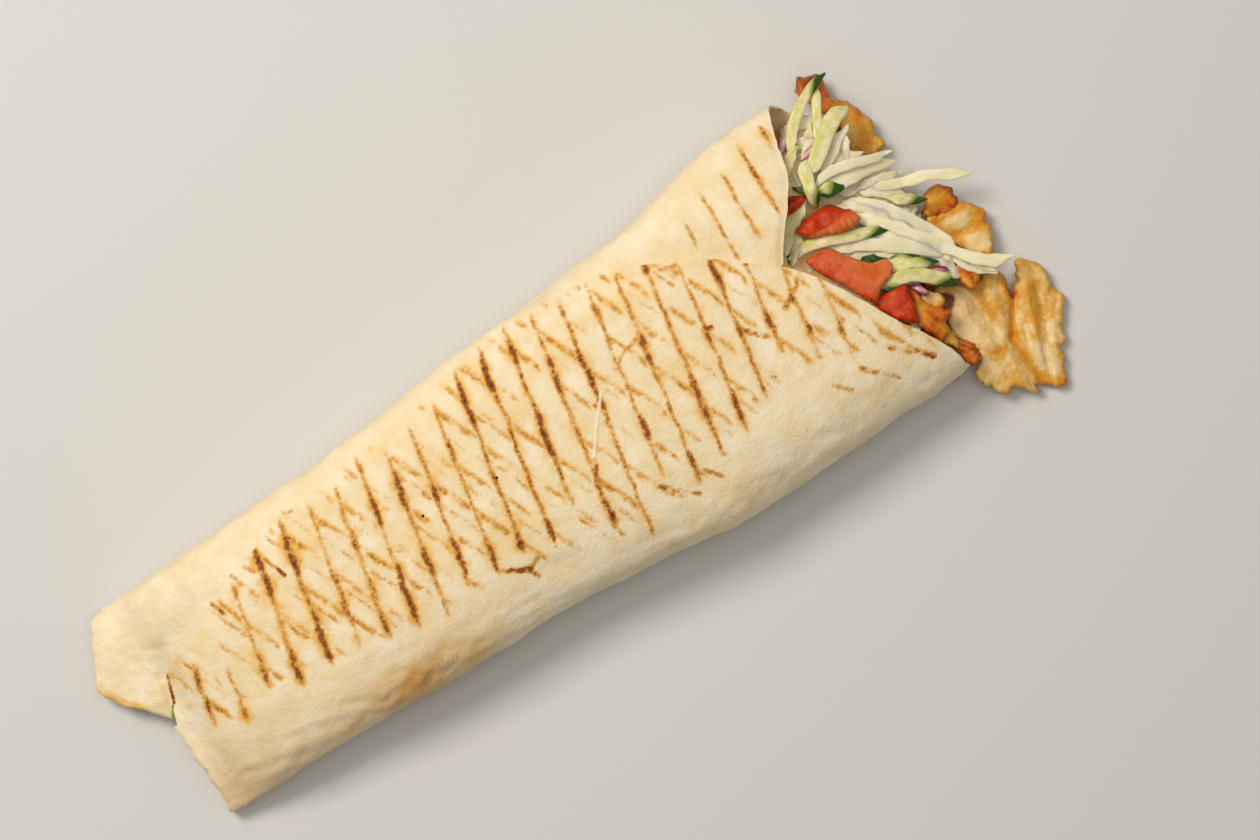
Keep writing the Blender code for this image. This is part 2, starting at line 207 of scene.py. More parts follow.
def add_node(tree: bpy.types.NodeTree, kind: str, inputs: dict[Any, Any] | None = None,
             stops: Sequence[tuple[float, str]] = (), **settings: Any) -> bpy.types.Node:
    """Add a node, set its properties, and set or link its inputs.

    Args:
        tree: the material's node tree.
        kind: the node's type, without the leading "ShaderNode".
        inputs: by socket name or number, a value, a socket, or a node whose first
            output is meant.
        stops: places and hex colours of a colour ramp.
        **settings: the node's own properties.

    Returns:
        The new node.
    """
    made = tree.nodes.new("ShaderNode" + kind)
    for name, value in settings.items():
        setattr(made, name, value)
    for key, value in (inputs or {}).items():
        if isinstance(value, bpy.types.Node):
            value = value.outputs[0]
        if isinstance(value, bpy.types.NodeSocket):
            tree.links.new(value, made.inputs[key])
        else:
            made.inputs[key].default_value = value
    for number, (place, code) in enumerate(stops):
        stop = (made.color_ramp.elements[number] if number < 2
                else made.color_ramp.elements.new(place))
        stop.position = place
        stop.color = colour(code)
    return made


def new_material(name: str, roughness: float, ior: float = 1.4, scatter: float = 0.0,
                 reach: tuple[float, float, float] = (1.0, 0.5, 0.25)
                 ) -> tuple[bpy.types.Material, bpy.types.Node, Callable[..., Any]]:
    """Make a material with a Principled shader.

    Args:
        name: the material's name.
        roughness: how matt its surface is.
        ior: its index of refraction.
        scatter: how much light goes into it and comes out nearby.
        reach: how far that light goes for red, green and blue, in millimetres.

    Returns:
        The material, its shader, and a function that adds a node to it.
    """
    made = bpy.data.materials.new(name)
    made.use_nodes = True
    shader = made.node_tree.nodes["Principled BSDF"]
    shader.inputs["Roughness"].default_value = roughness
    shader.inputs["IOR"].default_value = ior
    shader.inputs["Subsurface Weight"].default_value = scatter
    shader.inputs["Subsurface Radius"].default_value = reach
    shader.inputs["Subsurface Scale"].default_value = MM
    return made, shader, partial(add_node, made.node_tree)


@dataclass
class Parts:
    """Points and faces of many small shapes, gathered to be one piece."""

    points: list = field(default_factory=list)
    faces: list = field(default_factory=list)
    marks: dict = field(default_factory=dict)
    count: int = 0

    def add(self, points: Array, faces: Sequence[Any], **marks: Any) -> None:
        """Add a shape.

        Args:
            points: its points in the roll's plan, in millimetres.
            faces: arrays or lists of point numbers, one row for each face.
            **marks: numbers kept at each point for the material to read.
        """
        size = len(points)
        self.points.append(points)
        for group in faces:
            self.faces.extend(map(tuple, (np.asarray(group) + self.count).tolist()))
        for name, values in marks.items():
            kept = self.marks.setdefault(name, [])
            kept.append(np.broadcast_to(np.asarray(values, np.float32), (size,)))
        self.count += size

    def build(self, name: str, look: bpy.types.Material, slot: str) -> bpy.types.Object:
        """Make the piece, riding on the wrap.

        Args:
            name: the piece's name.
            look: its material.
            slot: the record's material slot that it stands for; not used.

        Returns:
            The new object, in place.
        """
        mesh = bpy.data.meshes.new(name)
        mesh.from_pydata(to_metres(np.concatenate(self.points)).tolist(), [], self.faces)
        for mark, values in self.marks.items():
            layer = mesh.attributes.new(mark, "FLOAT", "POINT")
            layer.data.foreach_set("value", np.concatenate(values).astype(np.float32))
        mesh.shade_smooth()
        mesh.materials.append(look)
        made = bpy.data.objects.new(name, mesh)
        bpy.context.scene.collection.objects.link(made)
        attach(made, BODY)
        LOG.info("%s: %d faces", name, len(mesh.polygons))
        return made


# ---------------------------------------------------------------- the roll


@dataclass
class Roll:
    """The outside of the rolled wrap, as a surface of x and turn, in millimetres."""

    stations: tuple = (-172, -158, -144, -120, -84, -40, 0, 40, 84, 128)
    half_plus_at: tuple = (39.1, 39.0, 38.9, 39.6, 40.4, 43.0, 46.8, 48.2, 56.2, 58.2)
    half_minus_at: tuple = (39.0, 38.9, 38.6, 39.5, 41.0, 42.4, 45.8, 49.3, 49.0, 48.4)
    height_at: tuple = (9.5, 11.5, 22.0, 30.0, 35.0, 38.0, 39.5, 40.0, 38.5, 33.0)
    waist: float = 0.46
    top_squareness: tuple = (2.4, 3.4)
    base_squareness: tuple = (3.0, 3.4)
    flat_sink: float = 0.8
    lattice_step: float = 2.0
    lattice_turns: int = 480

    def __post_init__(self) -> None:
        """Work out the section at close stations, ready to be read between."""
        self.half_plus = smooth_curve(self.stations, self.half_plus_at)
        self.half_minus = smooth_curve(self.stations, self.half_minus_at)
        self.height = smooth_curve(self.stations, self.height_at)
        start, end = self.stations[0] - 6.0, self.stations[-1] + 4.0
        count = int((end - start) / self.lattice_step) + 1
        self.lattice_x = np.linspace(start, end, count)
        self.lattice = np.array([self.section(x) for x in self.lattice_x])

    def heights(self, x: Any, across: Array) -> tuple[Array, Array, Array]:
        """Return y, base z and top z of the roll; across runs from -1 to 1."""
        minus = across < 0
        y = np.where(minus, self.half_minus(x), self.half_plus(x)) * across
        side = self.waist * self.height(x)
        top_power = np.where(minus, *self.top_squareness)
        base_power = np.where(minus, *self.base_squareness)
        out = np.minimum(np.abs(across), 1.0)
        top = side + (self.height(x) - side) * (1 - out ** top_power) ** (1 / top_power)
        base = side * (1 - (1 - out ** base_power) ** (1 / base_power))
        base = np.maximum(0.0, base - self.flat_sink) * side / (side - self.flat_sink)
        return y, base, top

    def section(self, x: float) -> Array:
        """Return y, z and the inward normal at even turns once round the roll at x."""
        across = -np.cos(np.linspace(0.0, math.pi, 600))
        y, base, top = self.heights(x, across)
        turn = np.linspace(-0.5, 0.5, self.lattice_turns + 1)
        halves = []
        for z in (top, base):
            run = np.concatenate([[0.0], np.cumsum(np.hypot(np.diff(y), np.diff(z)))])
            way = 0.5 * run / run[-1]
            halves.append((np.interp(np.abs(turn), way, y), np.interp(np.abs(turn), way, z)))
        loop_y = np.where(turn >= 0, halves[0][0], halves[1][0])
        loop_z = np.where(turn >= 0, halves[0][1], halves[1][1])
        dy = np.roll(loop_y[:-1], -1) - np.roll(loop_y[:-1], 1)
        dz = np.roll(loop_z[:-1], -1) - np.roll(loop_z[:-1], 1)
        length = np.hypot(dy, dz)
        normal_y = np.append(dz / length, dz[0] / length[0])
        normal_z = np.append(-dy / length, -dy[0] / length[0])
        return np.array([loop_y, loop_z, normal_y, normal_z])

    def girth(self, x: Any) -> Array:
        """Return about how far it is once round the roll at x."""
        return 2.0 * (self.half_plus(x) + self.half_minus(x)) + 1.1 * self.height(x)

    def at(self, x: Any, turn: Any, depth: Any) -> Array:
        """Return the points at x and turn, at a depth under the outside of the roll.

        Args:
            x: places along the roll.
            turn: places round it; whole turns fall on each other.
            depth: distance inwards, square to the section.

        Returns:
            An array of points, one row each.
        """
        x, turn, depth = np.broadcast_arrays(*(np.asarray(a, float) for a in (x, turn, depth)))
        along = (x - self.lattice_x[0]) / (self.lattice_x[1] - self.lattice_x[0])
        along = np.clip(along, 0.0, len(self.lattice_x) - 1.001)
        i = along.astype(int)
        s = along - i
        place = ((turn + 0.5) % 1.0) * self.lattice_turns
        j = np.minimum(place.astype(int), self.lattice_turns - 1)
        t = place - j
        values = []
        for part in range(4):
            grid = self.lattice[:, part, :]
            near = grid[i, j] * (1 - t) + grid[i, j + 1] * t
            far = grid[i + 1, j] * (1 - t) + grid[i + 1, j + 1] * t
            values.append(near * (1 - s) + far * s)
        y = values[0] + depth * values[2]
        z = np.maximum(values[1] + depth * values[3], 0.0)
        return np.stack([x, y, z], axis=-1)


# ---------------------------------------------------------------- the bread's finish


@dataclass(frozen=True)
class GrillStroke:
    """One dark line left by a grill bar: where it lies across the roll, in millimetres.

    low and high are its ends in y, tone is how strong it is, and the two pairs say where
    it was pressed hardest: the middle and half length of each dark stretch.
    """

    low: float
    high: float
    tone: float
    upper: float = 0.0
    upper_half: float = 0.0
    lower: float = 0.0
    lower_half: float = 0.0


@dataclass(frozen=True)
class DarkStroke:
    """A short stroke outside the regular lines: its ends, half width and strength."""

    start: tuple
    end: tuple
    half_width: float
    tone: float


NO_STROKE = GrillStroke(0, 0, 0)


@dataclass(frozen=True)
class ToastedFlatbread:
    """Wheat flatbread, baked soft and then toasted on a ridged grill.

    It is matt and cream, whiter where flour is left, with brown dotted lines from the
    grill bars in a golden halo, and a toasted rim.
    """

    crumb: str = "ebdab4"
    flour: str = "f1e6cb"
    warm: str = "eacb88"
    # tan: the crumpled side's own tan, also used as painted shade of its folds and of the closed
    # end's lower side.
    tan_with_shade: str = "c9954c"
    halo: str = "e6b458"
    gold: str = "d19a48"
    brown: str = "91511b"
    char: str = "5a2e12"
    # inside: the inner face's own paler colour, made lighter still as painted light where the
    # mouth's inside lies in shade.
    inside: str = "f4e6c2"
    # ridge: a pale colour along the crease, a painted highlight on its raised side.
    ridge: str = "f6ebcf"
    roughness: float = 0.75
    bar_pitch: float = 10.0
    far_pitch: float = 11.0
    far_start: float = -92.0
    cross_pitch: float = 10.7
    cross_lean: float = 0.45
    half_width: float = 0.90
    table_size: int = 32
    table_span: float = 100.0
    strokes: tuple = (
        GrillStroke(-14, 9, 0.55, 3, 4, -6, 4),
        GrillStroke(-18, 2, 0.5, 0, 0, -14, 4),
        GrillStroke(-14, 24, 0.55, 18, 3, -6, 6),
        GrillStroke(-17, 29, 0.8, 20, 8, -12, 5),
        GrillStroke(-17, 32, 0.8, 20, 6, -8, 8),
        GrillStroke(-18, 31, 0.6, 4, 4, -4, 4),
        GrillStroke(-20, 31, 0.7, 12, 3, -10, 9),
        GrillStroke(-22, 35, 0.8, 17, 4, -10, 10),
        GrillStroke(-24, 33, 0.7, 18, 6, -6, 5),
        GrillStroke(-20, 34, 0.75, 13, 5, -9, 6),
        GrillStroke(-22, 36, 0.65, 20, 3, -15, 5),
        GrillStroke(-20, 41, 0.85, 29, 8, -17, 3),
        GrillStroke(-24, 43, 0.85, 34, 7, -18, 3),
        GrillStroke(-16, 44, 0.9, 35, 3, 8, 9),
        GrillStroke(-30, 43, 0.75, 22, 6, -25, 5),
        GrillStroke(-38, 42, 0.75, 18, 7, 6, 3),
        GrillStroke(-24, 42, 0.65, 31, 2.5, -8, 5),
        GrillStroke(-32, 39.5, 0.75, 14, 5, -26, 5),
        GrillStroke(-28, 43, 0.75, 34, 3, -10, 9),
        GrillStroke(-27, 31.5, 0.7, 7, 2, -18, 5),
        GrillStroke(-22, 28, 0.75, 21, 5, 2, 2),
        GrillStroke(-12, 22, 0.7, 20, 3, 0, 4),
        GrillStroke(-21, 12, 0.65, 0, 0, -9, 3),
        GrillStroke(-26, 6, 0.5, 40, 3.5, -15, 3),
        GrillStroke(-20, 2, 0.25, 50, 2, 0, 0),
        GrillStroke(-32, -18, 0.5, 0, 0, -25, 2),
    )
    # The same bars on the bread's first turn, where it shows past the free edge.
    under_strokes: tuple = (NO_STROKE,) * 19 + (
        GrillStroke(35, 42, 0.35),
        GrillStroke(30, 40.5, 0.6),
        GrillStroke(20, 46, 0.6),
        GrillStroke(22, 48, 0.65),
        GrillStroke(25, 52, 0.75),
        GrillStroke(43, 54, 0.65),
        NO_STROKE,
    )
    first_stroke: int = -14
    scorches_and_slit_shadow: tuple = (
        DarkStroke((-42, -21), (-38.5, -23.5), 0.9, 0.7),
        DarkStroke((-38.5, -23.5), (-35.5, -24.8), 0.95, 1.1),
        DarkStroke((-35.5, -24.6), (-31, -23.2), 0.8, 0.62),
        DarkStroke((-35.2, -26.5), (-34.2, -28.5), 0.9, 0.5),
        DarkStroke((13, -26), (17, -31), 1.3, 0.75),
        DarkStroke((17, -29), (22, -34), 0.8, 0.5),
        DarkStroke((26, -27), (31, -33), 0.8, 0.5),
        DarkStroke((86, -28.7), (94.7, -37.3), 0.9, 0.55),
        DarkStroke((97, -28), (102, -32.7), 0.9, 0.5),
        DarkStroke((104, -33.3), (107.8, -38), 0.9, 0.95),
        DarkStroke((103, -17), (106.5, -29), 0.8, 0.35),
        DarkStroke((76, -28.7), (80, -32.7), 0.9, 0.4),
        DarkStroke((50, 31.5), (54.5, 30.2), 1.0, 0.42),
        DarkStroke((53.5, 28), (52.5, 31), 1.0, 0.42),
        DarkStroke((50.5, 8.2), (53.2, 7.8), 0.8, 0.9),
        DarkStroke((60, 2.7), (67, -4.5), 0.9, 0.6),
        DarkStroke((75.5, 0), (80.5, 2.5), 0.9, 0.55),
        DarkStroke((80, 2), (86, 7.5), 0.9, 0.6),
        DarkStroke((79.5, 1), (80.5, 4), 1.0, 0.8),
        # Painted shadow: this stroke darkens the slit under the top layer's edge at the closed end;
        # it is no grill mark.
        DarkStroke((-156.4, 1.0), (-152.8, 9.6), 0.5, 1.2),
        DarkStroke((26, 16), (32, 17.5), 0.8, 0.45),
        DarkStroke((-126.5, 20.8), (-124.8, 15.4), 0.7, 0.85),
        DarkStroke((-102.4, 18.4), (-101.6, 15.6), 0.6, 1.1),
        DarkStroke((-111.3, 24.8), (-109.4, 21.6), 0.7, 0.5),
        DarkStroke((-104.6, 23.6), (-102.2, 18.0), 0.7, 0.55),
        DarkStroke((-91.6, 32.2), (-89.0, 31.4), 0.7, 0.32),
        DarkStroke((-116.6, 25.0), (-112.6, 15.0), 0.8, 0.5),
        DarkStroke((0.2, -7.4), (-3.2, -13.6), 0.75, 0.75),
        DarkStroke((-3.2, -13.6), (-4.9, -22.0), 0.85, 0.6),
        DarkStroke((9.5, 7.0), (11.2, 4.0), 0.7, 0.5),
        DarkStroke((21, 13), (25, 15.5), 0.8, 0.35),
    )
    # A crease in two runs that kept the bread off the bars: no lines cross it, and it is painted
    # with a pale highlight.
    creases: tuple = (((13.3, 9.3), (7.0, 2.0)), ((7.0, 2.0), (0.8, -6.0)))

    def make(self) -> bpy.types.Material:
        """Build the material and return it."""
        made, shader, add = new_material("toasted_wheat_flatbread", self.roughness)
        place = add("TexCoord").outputs["Object"]
        split = add("SeparateXYZ", {0: place})
        x, y = (add("Math", {0: split.outputs[axis], 1: 1 / MM, 2: middle},
                    operation="MULTIPLY_ADD")
                for axis, middle in zip("XY", roll_middle()))
        # Noise of 1 mm breaks the lines into dots, and noise of 5 mm lets them fade.
        grain = add("TexNoise", {"Vector": place, "Scale": 760.0, "Detail": 3.0,
                                 "Roughness": 0.6}).outputs["Fac"]
        fade = add("TexNoise", {"Vector": place, "Scale": 210.0, "Detail": 2.0}).outputs["Fac"]
        heat = self.grill_lines(add, place, x, y, fade)
        cross = self.cross_lines(add, x, y, heat, fade, 0.22, (0.30, 0.85))
        second = self.cross_lines(add, x, y, heat, fade, 0.62, (-0.35, 0.70))
        spots = self.dark_strokes(add, x, y, fade)
        toast = add("Attribute", attribute_name="toast").outputs["Fac"]
        line = add("Math", {0: heat["line"], 1: cross["line"]}, operation="MAXIMUM")
        line = add("Math", {0: line, 1: second["line"]}, operation="MAXIMUM")
        line = add("Math", {0: line, 1: spots}, operation="MAXIMUM")
        crust = add("Math", {0: toast, 1: 0.3}, operation="SUBTRACT")
        line = add("Math", {0: line, 1: crust}, operation="MAXIMUM")
        smooth = self.off_the_crease(add, x, y)
        line = add("Math", {0: line, 1: smooth}, operation="MULTIPLY")
        glow = add("Math", {0: heat["glow"], 1: cross["glow"]}, operation="MAXIMUM")
        # The grain counts most where the line is neither clear nor gone.
        dots = add("MapRange", {0: grain, 1: 0.36, 2: 0.64, 3: 0.52, 4: 1.25})
        dotted = add("Math", {0: line, 1: dots}, operation="MULTIPLY")
        glow = add("Math", {0: toast, 1: 1.3, 2: glow}, operation="MULTIPLY_ADD")
        halo = add("Math", {0: dotted, 1: 0.9, 2: glow}, operation="MULTIPLY_ADD",
                   use_clamp=True)
        tint = self.crumb_colour(add, place)
        for share, low, high, code in ((halo, 0.0, 1.0, self.halo),
                                       (dotted, 0.08, 0.46, self.gold),
                                       (dotted, 0.36, 0.78, self.brown),
                                       (dotted, 0.92, 1.45, self.char)):
            here = add("MapRange", {0: share, 1: low, 2: high},
                       interpolation_type="SMOOTHSTEP")
            tint = add("MixRGB", {0: here, 1: tint, 2: colour(code)})
        # Painted highlight: the crease takes the pale ridge colour.
        tint = add("MixRGB", {0: smooth, 1: colour(self.ridge), 2: tint})
        shader.id_data.links.new(tint.outputs[0], shader.inputs["Base Color"])
        self.relief(add, place, dotted, smooth, shader)
        return made

    def crumb_colour(self, add: Callable[..., Any], place: Any) -> bpy.types.Node:
        """Add the crumb's colour, with flour in soft patches of 4 to 15 mm, the tan with its painted
        shade, and the inner face's colour with its painted light.
        """
        inside = add("Attribute", attribute_name="inside").outputs["Fac"]
        contact = add("Attribute", attribute_name="contact").outputs["Fac"]
        patches = add("TexNoise", {"Vector": place, "Scale": 110.0, "Detail": 4.0,
                                   "Roughness": 0.6})
        flour = add("MapRange", {0: patches, 1: 0.40, 2: 0.64})
        base = add("MixRGB", {0: flour, 1: colour(self.crumb), 2: colour(self.flour)})
        warmth = add("TexNoise", {"Vector": place, "Scale": 75.0, "Detail": 3.0})
        warmth = add("MapRange", {0: warmth, 1: 0.46, 2: 0.74, 4: 0.7})
        heated = add("MapRange", {0: contact, 3: 0.35})
        warmth = add("Math", {0: warmth, 1: heated}, operation="MULTIPLY")
        base = add("MixRGB", {0: warmth, 1: base, 2: colour(self.warm)})
        # The tan colour is partly the crust's own and partly painted shade on the -Y side.
        tanned = add("Attribute", attribute_name="tanned").outputs["Fac"]
        base = add("MixRGB", {0: tanned, 1: base, 2: colour(self.tan_with_shade)})
        # The inside colour carries painted light on the shaded inner face.
        return add("MixRGB", {0: inside, 1: base, 2: colour(self.inside)})

    def stroke_table(self, add: Callable[..., Any], number: Any,
                     rows: Sequence[Sequence[float]]) -> bpy.types.Node:
        """Add a ramp that holds four numbers from 0 to 1 for each grill bar."""
        where = add("Math", {0: number, 1: 1.0 / self.table_size,
                             2: (1.5 - self.first_stroke) / self.table_size},
                    operation="MULTIPLY_ADD")
        ramp = add("ValToRGB", {0: where})
        ramp.color_ramp.interpolation = "CONSTANT"
        nothing = (0.5, 0.5, 0.0, 0.0)
        ramp.color_ramp.elements[0].color = nothing
        ramp.color_ramp.elements[1].position = (len(rows) + 1) / self.table_size
        ramp.color_ramp.elements[1].color = nothing
        for i, row in enumerate(rows):
            ramp.color_ramp.elements.new((i + 1) / self.table_size).color = row
        return ramp

    def ends_of(self, strokes: Sequence[GrillStroke]) -> list[tuple]:
        """Return each stroke's ends and tone as numbers from 0 to 1."""
        span = self.table_span
        return [(s.low / span + 0.5, s.high / span + 0.5, s.tone, 1.0) for s in strokes]

    def grill_lines(self, add: Callable[..., Any], place: Any, x: Any, y: Any,
                    fade: Any) -> dict[str, Any]:
        """Add the main lines of the grill bars.

        Args:
            add: adds a node.
            place: the point on the bread.
            x: its place along the roll, in millimetres.
            y: its place across the roll, in millimetres.
            fade: noise that weakens the lines here and there.

        Returns:
            The line and its glow, from 0 to 1, the bar's number, and how far the point
            is past the bar's middle, in pitches.
        """
        layer = add("Attribute", attribute_name="layer").outputs["Fac"]
        # The bars lean about 11 degrees, and more towards the closed end, where they
        # are also a little further apart.
        lean = add("Math", {0: x, 1: -0.0003, 2: 0.195}, operation="MULTIPLY_ADD")
        shift = add("Math", {0: lean, 1: y}, operation="MULTIPLY")
        along = add("Math", {0: x, 1: shift}, operation="SUBTRACT")
        # On the first turn the lines stand upright and a little closer together.
        upright = add("Math", {0: y, 1: 0.12, 2: 1.3 - 0.12 * 40 - 0.09 * 46},
                      operation="MULTIPLY_ADD")
        upright = add("Math", {0: x, 1: 0.09, 2: upright}, operation="MULTIPLY_ADD")
        first = add("Math", {0: 1.0, 1: layer}, operation="SUBTRACT")
        along = add("Math", {0: upright, 1: first, 2: along}, operation="MULTIPLY_ADD")
        wander = add("TexNoise", {"Vector": place, "Scale": 120.0, "Detail": 3.0})
        along = add("Math", {0: wander, 1: 2.4, 2: along}, operation="MULTIPLY_ADD")
        along = add("Math", {0: along, 1: 1.2}, operation="SUBTRACT")
        q = add("Math", {0: along, 1: self.bar_pitch}, operation="DIVIDE")
        far = add("Math", {0: self.far_start, 1: along}, operation="SUBTRACT")
        far = add("Math", {0: far, 1: 0.0}, operation="MAXIMUM")
        q = add("Math", {0: far, 1: 1 / self.bar_pitch - 1 / self.far_pitch, 2: q},
                operation="MULTIPLY_ADD")
        near = add("Math", {0: q, 1: 0.5}, operation="ADD")
        number = add("Math", {0: near}, operation="FLOOR")
        side = add("Math", {0: q, 1: number}, operation="SUBTRACT")
        off = add("Math", {0: side}, operation="ABSOLUTE")
        off = add("Math", {0: off, 1: self.bar_pitch}, operation="MULTIPLY")
        over = self.stroke_table(add, number, self.ends_of(self.strokes))
        under = self.stroke_table(add, number, self.ends_of(self.under_strokes))
        ends = add("MixRGB", {0: layer, 1: under, 2: over})
        ends = add("SeparateColor", {0: ends})
        span = self.table_span
        darks = self.stroke_table(add, number, [
            (s.upper / span + 0.5, s.upper_half / span, s.lower / span + 0.5,
             s.lower_half / span) for s in self.strokes])
        dark_parts = add("SeparateColor", {0: darks})
        level = add("Math", {0: y, 1: 1 / span, 2: 0.5}, operation="MULTIPLY_ADD")
        above = add("Math", {0: level, 1: ends.outputs[0]}, operation="SUBTRACT")
        below = add("Math", {0: ends.outputs[1], 1: level}, operation="SUBTRACT")
        within = add("Math", {0: above, 1: below}, operation="MINIMUM")
        within = add("MapRange", {0: within, 1: -0.012, 2: 0.03})
        tone = add("Math", {0: within, 1: ends.outputs[2]}, operation="MULTIPLY")
        dark = 0.0
        for centre, half in ((dark_parts.outputs[0], dark_parts.outputs[1]),
                             (dark_parts.outputs[2], darks.outputs["Alpha"])):
            away = add("Math", {0: level, 1: centre}, operation="SUBTRACT")
            away = add("Math", {0: away}, operation="ABSOLUTE")
            away = add("Math", {0: half, 1: away}, operation="SUBTRACT")
            here = add("MapRange", {0: away, 1: -0.012, 2: 0.03})
            dark = add("Math", {0: here, 1: dark}, operation="MAXIMUM")
        # Where it was pressed hardest the line is darker and a little wider.
        wide = add("Math", {0: dark, 1: 0.22, 2: self.half_width}, operation="MULTIPLY_ADD")
        press = add("Math", {0: dark, 1: 0.68, 2: 0.68}, operation="MULTIPLY_ADD")
        press = add("Math", {0: press, 1: tone}, operation="MULTIPLY")
        keep = add("MapRange", {0: fade, 1: 0.30, 2: 0.56, 3: 0.55, 4: 1.15})
        press = add("Math", {0: press, 1: keep}, operation="MULTIPLY")
        ratio = add("Math", {0: off, 1: wide}, operation="DIVIDE")
        square = add("Math", {0: ratio, 1: ratio}, operation="MULTIPLY")
        fall = add("Math", {0: 0.37, 1: square}, operation="POWER")
        line = add("Math", {0: fall, 1: press}, operation="MULTIPLY")
        # The golden halo is deepest towards the closed end.
        glow = add("MapRange", {0: off, 1: 4.6, 2: 0.0}, interpolation_type="SMOOTHSTEP")
        glow = add("Math", {0: glow, 1: press}, operation="MULTIPLY")
        depth = add("MapRange", {0: x, 1: -95.0, 2: 20.0, 3: 1.15, 4: 0.72})
        patchy = add("TexNoise", {"Vector": place, "Scale": 170.0, "Detail": 4.0,
                                  "Roughness": 0.65})
        patchy = add("MapRange", {0: patchy, 1: 0.36, 2: 0.64, 3: 0.1, 4: 1.5})
        depth = add("Math", {0: patchy, 1: depth}, operation="MULTIPLY")
        depth = add("Math", {0: depth, 1: 0.9}, operation="MULTIPLY")
        glow = add("Math", {0: glow, 1: depth}, operation="MULTIPLY")
        return {"line": line, "glow": glow, "number": number, "side": side}

    def cross_lines(self, add: Callable[..., Any], x: Any, y: Any, heat: dict[str, Any],
                    fade: Any, shift: float, tones: tuple[float, float]) -> dict[str, Any]:
        """Add the fainter lines of the second pressing, which lean the other way.

        They show in short stretches between the main lines, each of its own strength.

        Args:
            add: adds a node.
            x: place along the roll, in millimetres.
            y: place across the roll, in millimetres.
            heat: the main lines, which number and side are taken from.
            fade: noise that weakens the lines here and there.
            shift: how far the lines are moved along the roll, in pitches.
            tones: the strengths that a stretch's own one lies between; below 0 is none.

        Returns:
            The line and its glow, from 0 to 1.
        """
        number = heat["number"]
        side = heat["side"]
        contact = add("Attribute", attribute_name="contact").outputs["Fac"]
        along = add("Math", {0: y, 1: self.cross_lean, 2: x}, operation="MULTIPLY_ADD")
        bend = add("Math", {0: fade, 1: 3.0, 2: along}, operation="MULTIPLY_ADD")
        q = add("Math", {0: bend, 1: 1 / self.cross_pitch, 2: shift},
                operation="MULTIPLY_ADD")
        line_number = add("Math", {0: q}, operation="FLOOR")
        middle = add("Math", {0: line_number, 1: 0.5}, operation="ADD")
        strip = add("Math", {0: number, 1: side}, operation="ADD")
        strip = add("Math", {0: strip}, operation="FLOOR")
        cell = add("CombineXYZ", {0: line_number, 1: strip, 2: shift})
        chance = add("TexWhiteNoise", {"Vector": cell}, noise_dimensions="3D")
        tone = add("MapRange", {0: chance, 3: tones[0], 4: tones[1]})
        tone = add("Math", {0: tone, 1: 0.0}, operation="MAXIMUM")
        moved = add("Math", {0: chance, 1: 0.30, 2: -0.15}, operation="MULTIPLY_ADD")
        middle = add("Math", {0: middle, 1: moved}, operation="ADD")
        off = add("Math", {0: q, 1: middle}, operation="SUBTRACT")
        off = add("Math", {0: off}, operation="ABSOLUTE")
        off = add("Math", {0: off, 1: self.cross_pitch}, operation="MULTIPLY")
        # Each stretch starts at a main line, is strongest there, and fades before the
        # next one.
        past = add("Math", {0: strip, 1: -1.0, 2: number}, operation="MULTIPLY_ADD")
        past = add("Math", {0: past, 1: side}, operation="ADD")
        reach = add("MapRange", {0: chance.outputs["Color"], 3: 0.55, 4: 1.1})
        left = add("Math", {0: reach, 1: past}, operation="SUBTRACT")
        between = add("MapRange", {0: left, 1: 0.0, 2: 0.14})
        tone = add("Math", {0: tone, 1: between}, operation="MULTIPLY")
        tone = add("Math", {0: tone, 1: contact}, operation="MULTIPLY")
        layer = add("Attribute", attribute_name="layer").outputs["Fac"]
        tone = add("Math", {0: tone, 1: layer}, operation="MULTIPLY")
        keep = add("MapRange", {0: fade, 1: 0.36, 2: 0.58, 3: 0.35, 4: 1.1})
        tone = add("Math", {0: tone, 1: keep}, operation="MULTIPLY")
        ratio = add("Math", {0: off, 1: 1.12}, operation="DIVIDE")
        square = add("Math", {0: ratio, 1: ratio}, operation="MULTIPLY")
        fall = add("Math", {0: 0.37, 1: square}, operation="POWER")
        line = add("Math", {0: fall, 1: tone}, operation="MULTIPLY")
        line = add("Math", {0: line, 1: 0.64}, operation="MULTIPLY")
        glow = add("MapRange", {0: off, 1: 3.0, 2: 0.2}, interpolation_type="SMOOTHSTEP")
        glow = add("Math", {0: glow, 1: tone}, operation="MULTIPLY")
        glow = add("Math", {0: glow, 1: 0.75}, operation="MULTIPLY")
        return {"line": line, "glow": glow}

    def from_segment(self, add: Callable[..., Any], x: Any, y: Any, start: Sequence[float],
                     end: Sequence[float]) -> bpy.types.Node:
        """Add the distance of a point from the straight line between two places."""
        run = (end[0] - start[0], end[1] - start[1])
        size = run[0] ** 2 + run[1] ** 2
        here = add("CombineXYZ", {0: x, 1: y})
        off = add("VectorMath", {0: here, 1: (start[0], start[1], 0.0)}, operation="SUBTRACT")
        share = add("VectorMath", {0: off, 1: (run[0] / size, run[1] / size, 0.0)},
                    operation="DOT_PRODUCT")
        share = add("Clamp", {0: share.outputs["Value"]})
        near = add("VectorMath", {0: (run[0], run[1], 0.0), "Scale": share}, operation="SCALE")
        away = add("VectorMath", {0: off, 1: near}, operation="DISTANCE")
        return away.outputs["Value"]

